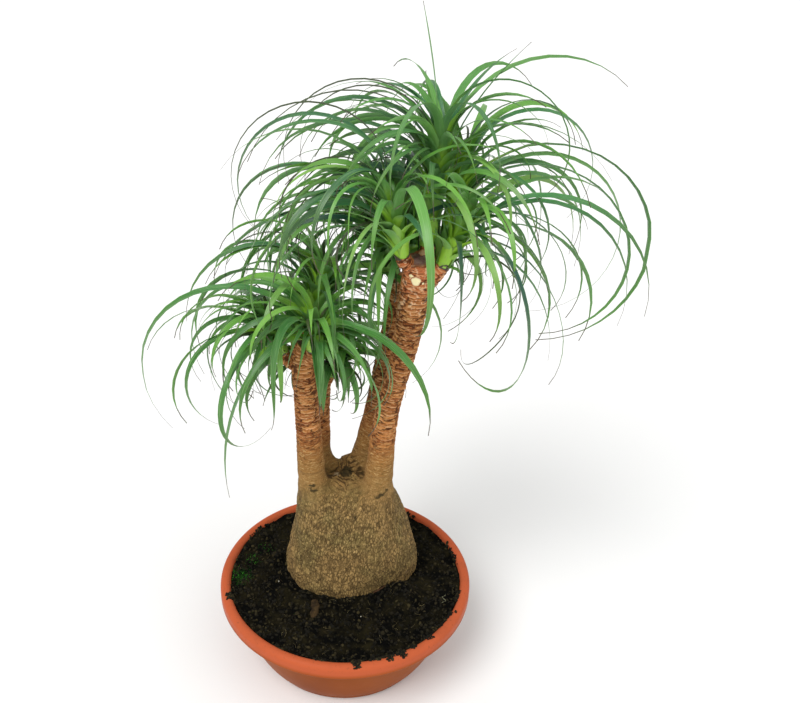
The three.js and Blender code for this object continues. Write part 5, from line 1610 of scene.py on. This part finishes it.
def clasping_rib(shoot, order, i, dry):
    """The base of a lost leaf, or a dry scale, as a rib that lies against the shoot."""
    base, way, length = shoot_axis(shoot)
    seed = 7001 + 97 * order + 13 * i + (50 if dry else 0)
    azimuth = math.degrees(2 * math.pi * draw(seed)) if dry else 40 * order + GOLDEN_ANGLE * i
    out = away_from_shoot(way, azimuth)
    share = np.linspace(0, 1, CLASP_POINTS)
    if dry:
        low, long, flare, hug, wide = (
            -1.0, DRY_SCALES["length"], 1.0, DRY_SCALES["hug"], DRY_SCALES["half_width"]
        )
    else:
        low = (BASES["count"] - 1 - i) / BASES["count"] * BASES["up_to"] * length
        long = BASES["shortest"] + BASES["spread"] * draw(seed + 1)
        flare = 3 + 14 * draw(seed + 2)
        hug = BASES["hug"] + 0.25 * i
        wide = BASES["half_width"]
    spine = base + way * (low + long * share)[:, None] + out * (hug + flare * share ** 2)[:, None]
    sizes = 0.5 + wide * (1 - share ** 2.2), hug + 0.6 + 5 * share, 0.4
    along = 1.2 + 0 * share if dry else 0.02 + 0.05 * share
    return as_rib(spine, blade_frames(spine, azimuth, 0, share), sizes, (along, 0.3, draw(seed + 3)))


def stub_rib(line, half_width):
    """A leaf cut off short, as a rib that bends over."""
    spine = np.array(line, float)
    frames = blade_frames(spine, 0, 0, np.zeros(len(spine)))
    return as_rib(spine, frames, (half_width, 6.0, 0.5), (0.05, 0.4, 0.6))


# The collars: short necks of young bark, each bent up from its stem to carry a shoot
# how high on its stem each collar starts
COLLARS = {
    "shoot_right_left": 560, "shoot_right_side": 545, "shoot_right_top": 562, "shoot_right_rear": 530,
    "shoot_behind_left": 505, "shoot_behind_right": 508, "shoot_left_front": 440, "shoot_left_side": 430,
    "shoot_left_top": 452, "shoot_low_right": 374, "shoot_low_left": 374,
}
COLLAR = {"neck": 0.8, "rings": 26, "ways": 32, "root": 7.5, "mouth": 7.4, "lip": 0.6}
for order, (shoot, height) in enumerate(COLLARS.items()):
    base, way, length = shoot_axis(shoot)
    heart = np.append(read_rows(STEMS[SHOOTS[shoot][0]][2], height)[:2], height)
    neck = base - way * COLLAR["neck"] * COLLAR_RADIUS
    t = np.linspace(0, 1, COLLAR["rings"])[:, None]
    spine = (1 - t) ** 2 * heart + 2 * t * (1 - t) * neck + t ** 2 * base
    sides, uppers = blade_frames(spine, SHOOTS[shoot][4] + 90, 0, t[:, 0])
    radii = np.interp(
        t[:, 0], [0, 0.3, 0.85, 1], [COLLAR["root"], COLLAR_RADIUS, COLLAR_RADIUS, COLLAR["mouth"]]
    )
    turns = full_turn(COLLAR["ways"])
    ring = np.cos(turns)[None, :, None] * sides[:, None, :]
    ring = ring + np.sin(turns)[None, :, None] * uppers[:, None, :]
    rings = spine[:, None, :] + ring * radii[:, None, None]
    travelled = np.append(0, np.cumsum(np.linalg.norm(np.diff(spine, axis=0), axis=1)))
    straight = np.stack([
        np.tile(COLLAR_RADIUS * np.cos(turns) + STRAIGHT["collars_apart"] * order, COLLAR["rings"]),
        np.tile(COLLAR_RADIUS * np.sin(turns), COLLAR["rings"]),
        np.repeat(travelled, COLLAR["ways"]),
    ], axis=1)
    straight = np.vstack([straight, straight[0], straight[-1]]) * MM
    marks = {"straight": straight, "scarred": np.ones(len(straight)), "cut": np.zeros(len(straight))}
    neck_blank = show(
        shoot + "_neck", closed_skin("collar", rings, heart, base + way * COLLAR["lip"], **marks)
    )
    collar = worked(shoot.replace("shoot", "collar"), neck_blank, carving, {**RELIEF, "Bark": cork})
    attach(collar, "root")
    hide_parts("trunk")

# The tree draws a ring along each rib. A point of the ring gives its way across the blade, which is bent to
# the cup, and its height on the lens.
blades, given = new_tree("strap leaves", {"Edge Angle": "Float", "Leaf": "Material"})
ribs = add_node(blades, "GeometryNodeMeshToCurve", given["Geometry"])
ring = add_node(blades, "GeometryNodeCurvePrimitiveCircle", {"Resolution": 8, "Radius": 1.0})
ring_place = add_node(blades, "GeometryNodeInputPosition")
section = add_node(
    blades, "GeometryNodeStoreNamedAttribute", {"Geometry": ring, "Name": "section", "Value": ring_place},
    data_type="FLOAT_VECTOR",
)
tubes = add_node(
    blades, "GeometryNodeCurveToMesh", {"Curve": ribs, "Profile Curve": section, "Fill Caps": True}
)
known = {
    name: add_node(blades, "GeometryNodeInputNamedAttribute", name, data_type="FLOAT_VECTOR").outputs[0]
    for name in ("section", "spine", "side", "upper", "sizes")
}
across, height, _ = add_node(blades, "ShaderNodeSeparateXYZ", known["section"]).outputs
half, cup, thick = add_node(blades, "ShaderNodeSeparateXYZ", known["sizes"]).outputs
arc_length = add_node(blades, "ShaderNodeMath", across, half, operation="MULTIPLY")
bow = add_node(blades, "ShaderNodeMath", arc_length, cup, operation="DIVIDE")
bow_sine = add_node(blades, "ShaderNodeMath", bow, operation="SINE")
bow_cosine = add_node(blades, "ShaderNodeMath", bow, operation="COSINE")
sideways = add_node(blades, "ShaderNodeMath", bow_sine, cup, operation="MULTIPLY")
dip = add_node(blades, "ShaderNodeMath", 1.0, bow_cosine, operation="SUBTRACT")
dip = add_node(blades, "ShaderNodeMath", dip, cup, operation="MULTIPLY")
lift = add_node(blades, "ShaderNodeMath", height, thick, dip, operation="MULTIPLY_ADD")
sideways = add_node(blades, "ShaderNodeVectorMath", {0: known["side"], "Scale": sideways}, operation="SCALE")
lifted = add_node(blades, "ShaderNodeVectorMath", {0: known["upper"], "Scale": lift}, operation="SCALE")
from_spine = add_node(blades, "ShaderNodeVectorMath", sideways, lifted, operation="ADD")
spot = add_node(blades, "ShaderNodeVectorMath", known["spine"], from_spine, operation="ADD")
shaped = add_node(blades, "GeometryNodeSetPosition", {"Geometry": tubes, "Position": spot})
edge_angle = add_node(blades, "GeometryNodeInputMeshEdgeAngle")
is_edge = add_node(
    blades, "FunctionNodeCompare", {"A": edge_angle, "B": given["Edge Angle"]}, operation="GREATER_THAN"
)
smooth = add_node(blades, "GeometryNodeSetShadeSmooth", {"Geometry": shaped, "Shade Smooth": True})
crisp = add_node(
    blades, "GeometryNodeSetShadeSmooth", {"Geometry": smooth, "Selection": is_edge, "Shade Smooth": False},
    domain="EDGE",
)
end_tree(blades, crisp, given["Leaf"])

# Living leaf: a thin, waxy blade with a bloom that turns pale where the light grazes it. It is lime where it
# is young and at the sheath, deep and bluish when old, duller beneath, and dry and brown at its tip. Its
# margins are painted darker as the shade of the channelled blade.
LEAF_GREENS = [(0.0, "#214c42"), (0.3, "#2f664a"), (0.62, "#428248"), (0.86, "#6aa648"), (1.0, "#93c060")]
LEAF_TONES = {
    "lush": "#47801c", "crown": "#3b7846", "young": "#7abc38", "sheath": "#9fd233", "outer": "#4a5f28",
    "beneath": "#6f9f5e", "vein": "#9fc486", "edge": "#4a7838", "dry": "#4a4030", "withered": "#3a3f24",
    "bloom": "#dcebdc",
}
VEIN_SPACING = (9.0, 5.0, 40.0)
living, tree, shader = new_material("waxy strap leaf")
growth = add_node(tree, "ShaderNodeAttribute", attribute_name="growth").outputs["Vector"]
along, young, tint = add_node(tree, "ShaderNodeSeparateXYZ", growth).outputs
section = add_node(tree, "ShaderNodeAttribute", attribute_name="section").outputs["Vector"]
across, upwards, _ = add_node(tree, "ShaderNodeSeparateXYZ", section).outputs
place = add_node(tree, "ShaderNodeTexCoord").outputs["Object"]
vein_place = add_node(tree, "ShaderNodeCombineXYZ", across, along, tint)
vein_place = add_node(tree, "ShaderNodeVectorMath", vein_place, VEIN_SPACING, operation="MULTIPLY")
veins = add_node(tree, "ShaderNodeTexNoise", {"Vector": vein_place, "Scale": 1.0, "Detail": 2.0})
mottle = add_node(tree, "ShaderNodeTexNoise", {"Vector": place, "Scale": 28.0, "Detail": 3.0})
greens = add_node(tree, "ShaderNodeValToRGB", tint)
ramp = [*greens.color_ramp.elements] + [greens.color_ramp.elements.new(0.5) for _ in LEAF_GREENS[2:]]
for element, (position, tone) in zip(ramp, LEAF_GREENS):
    element.position = position
    element.color = linear(tone)
low = add_node(tree, "ShaderNodeSeparateXYZ", place).outputs[2]
tip = add_node(tree, "ShaderNodeMath", mottle, 0.12, along, operation="MULTIPLY_ADD")
side = add_node(tree, "ShaderNodeMath", across, operation="ABSOLUTE")
sheathed = add_node(tree, "ShaderNodeMath", tint, 0.25, along, operation="MULTIPLY_ADD")
colour = layered(tree, greens, LEAF_TONES, [
    (along, 0.3, 0.9, 0.6, "outer"),
    (low, 0.62, 0.5, 0.55, "lush"),
    (young, 0.4, 1.0, 0.6, "young"),
    (low, 0.68, 0.77, 0.5, "crown"),
    (veins, 0.5, 0.7, 0.4, "vein"),
    # painted shade along the blade's margins
    (side, 0.9, 0.99, 0.5, "edge"),
    (upwards, 0.1, -0.1, 0.5, "beneath"),
    (sheathed, 0.32, 0.04, 0.85, "sheath"),
    (young, -0.2, -0.9, 0.9, "withered"),
    (tip, 0.97, 1.05, 1.0, "dry"),
])
ribbed = add_node(tree, "ShaderNodeBump", {"Strength": 0.35, "Distance": 0.0003, "Height": veins})
feed(shader, {
    "Base Color": colour, "Normal": ribbed, "Roughness": 0.36, "Specular IOR Level": 0.5, "IOR": 1.45,
    "Sheen Weight": 0.08, "Sheen Roughness": 0.45, "Sheen Tint": linear(LEAF_TONES["bloom"]),
    "Subsurface Weight": 0.18, "Subsurface Radius": (0.6, 1.0, 0.2), "Subsurface Scale": 0.001,
})

for order, shoot in enumerate(SHOOTS):
    ribs_of_shoot = [midrib(shoot, leaf) for leaf in leaves[shoot]] + [core_rib(shoot)]
    ribs_of_shoot += [clasping_rib(shoot, order, i, False) for i in range(BASES["count"])]
    ribs_of_shoot += [clasping_rib(shoot, order, i, True) for i in range(DRY_SCALES["count"])]
    if shoot == CUT_STUB[0]:
        ribs_of_shoot.append(stub_rib(*CUT_STUB[1:]))
    counts = [len(rib[0]) for rib in ribs_of_shoot]
    starts = np.cumsum([0] + counts[:-1])
    edges = [(int(a + i), int(a + i + 1)) for a, n in zip(starts, counts) for i in range(n - 1)]
    spine, side, upper, sizes, growth = (np.vstack(part) for part in zip(*ribs_of_shoot))
    marks = {"spine": spine * MM, "side": side, "upper": upper, "sizes": sizes, "growth": growth}
    rib_blank = show(shoot + "_ribs", new_mesh(shoot + "_ribs", spine, [], edges, smooth=False, **marks))
    wishes = {"Edge Angle": math.radians(50), "Leaf": living}
    foliage = worked(shoot.replace("shoot", "leaves"), rib_blank, blades, wishes)
    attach(foliage, "root")
    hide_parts(shoot)
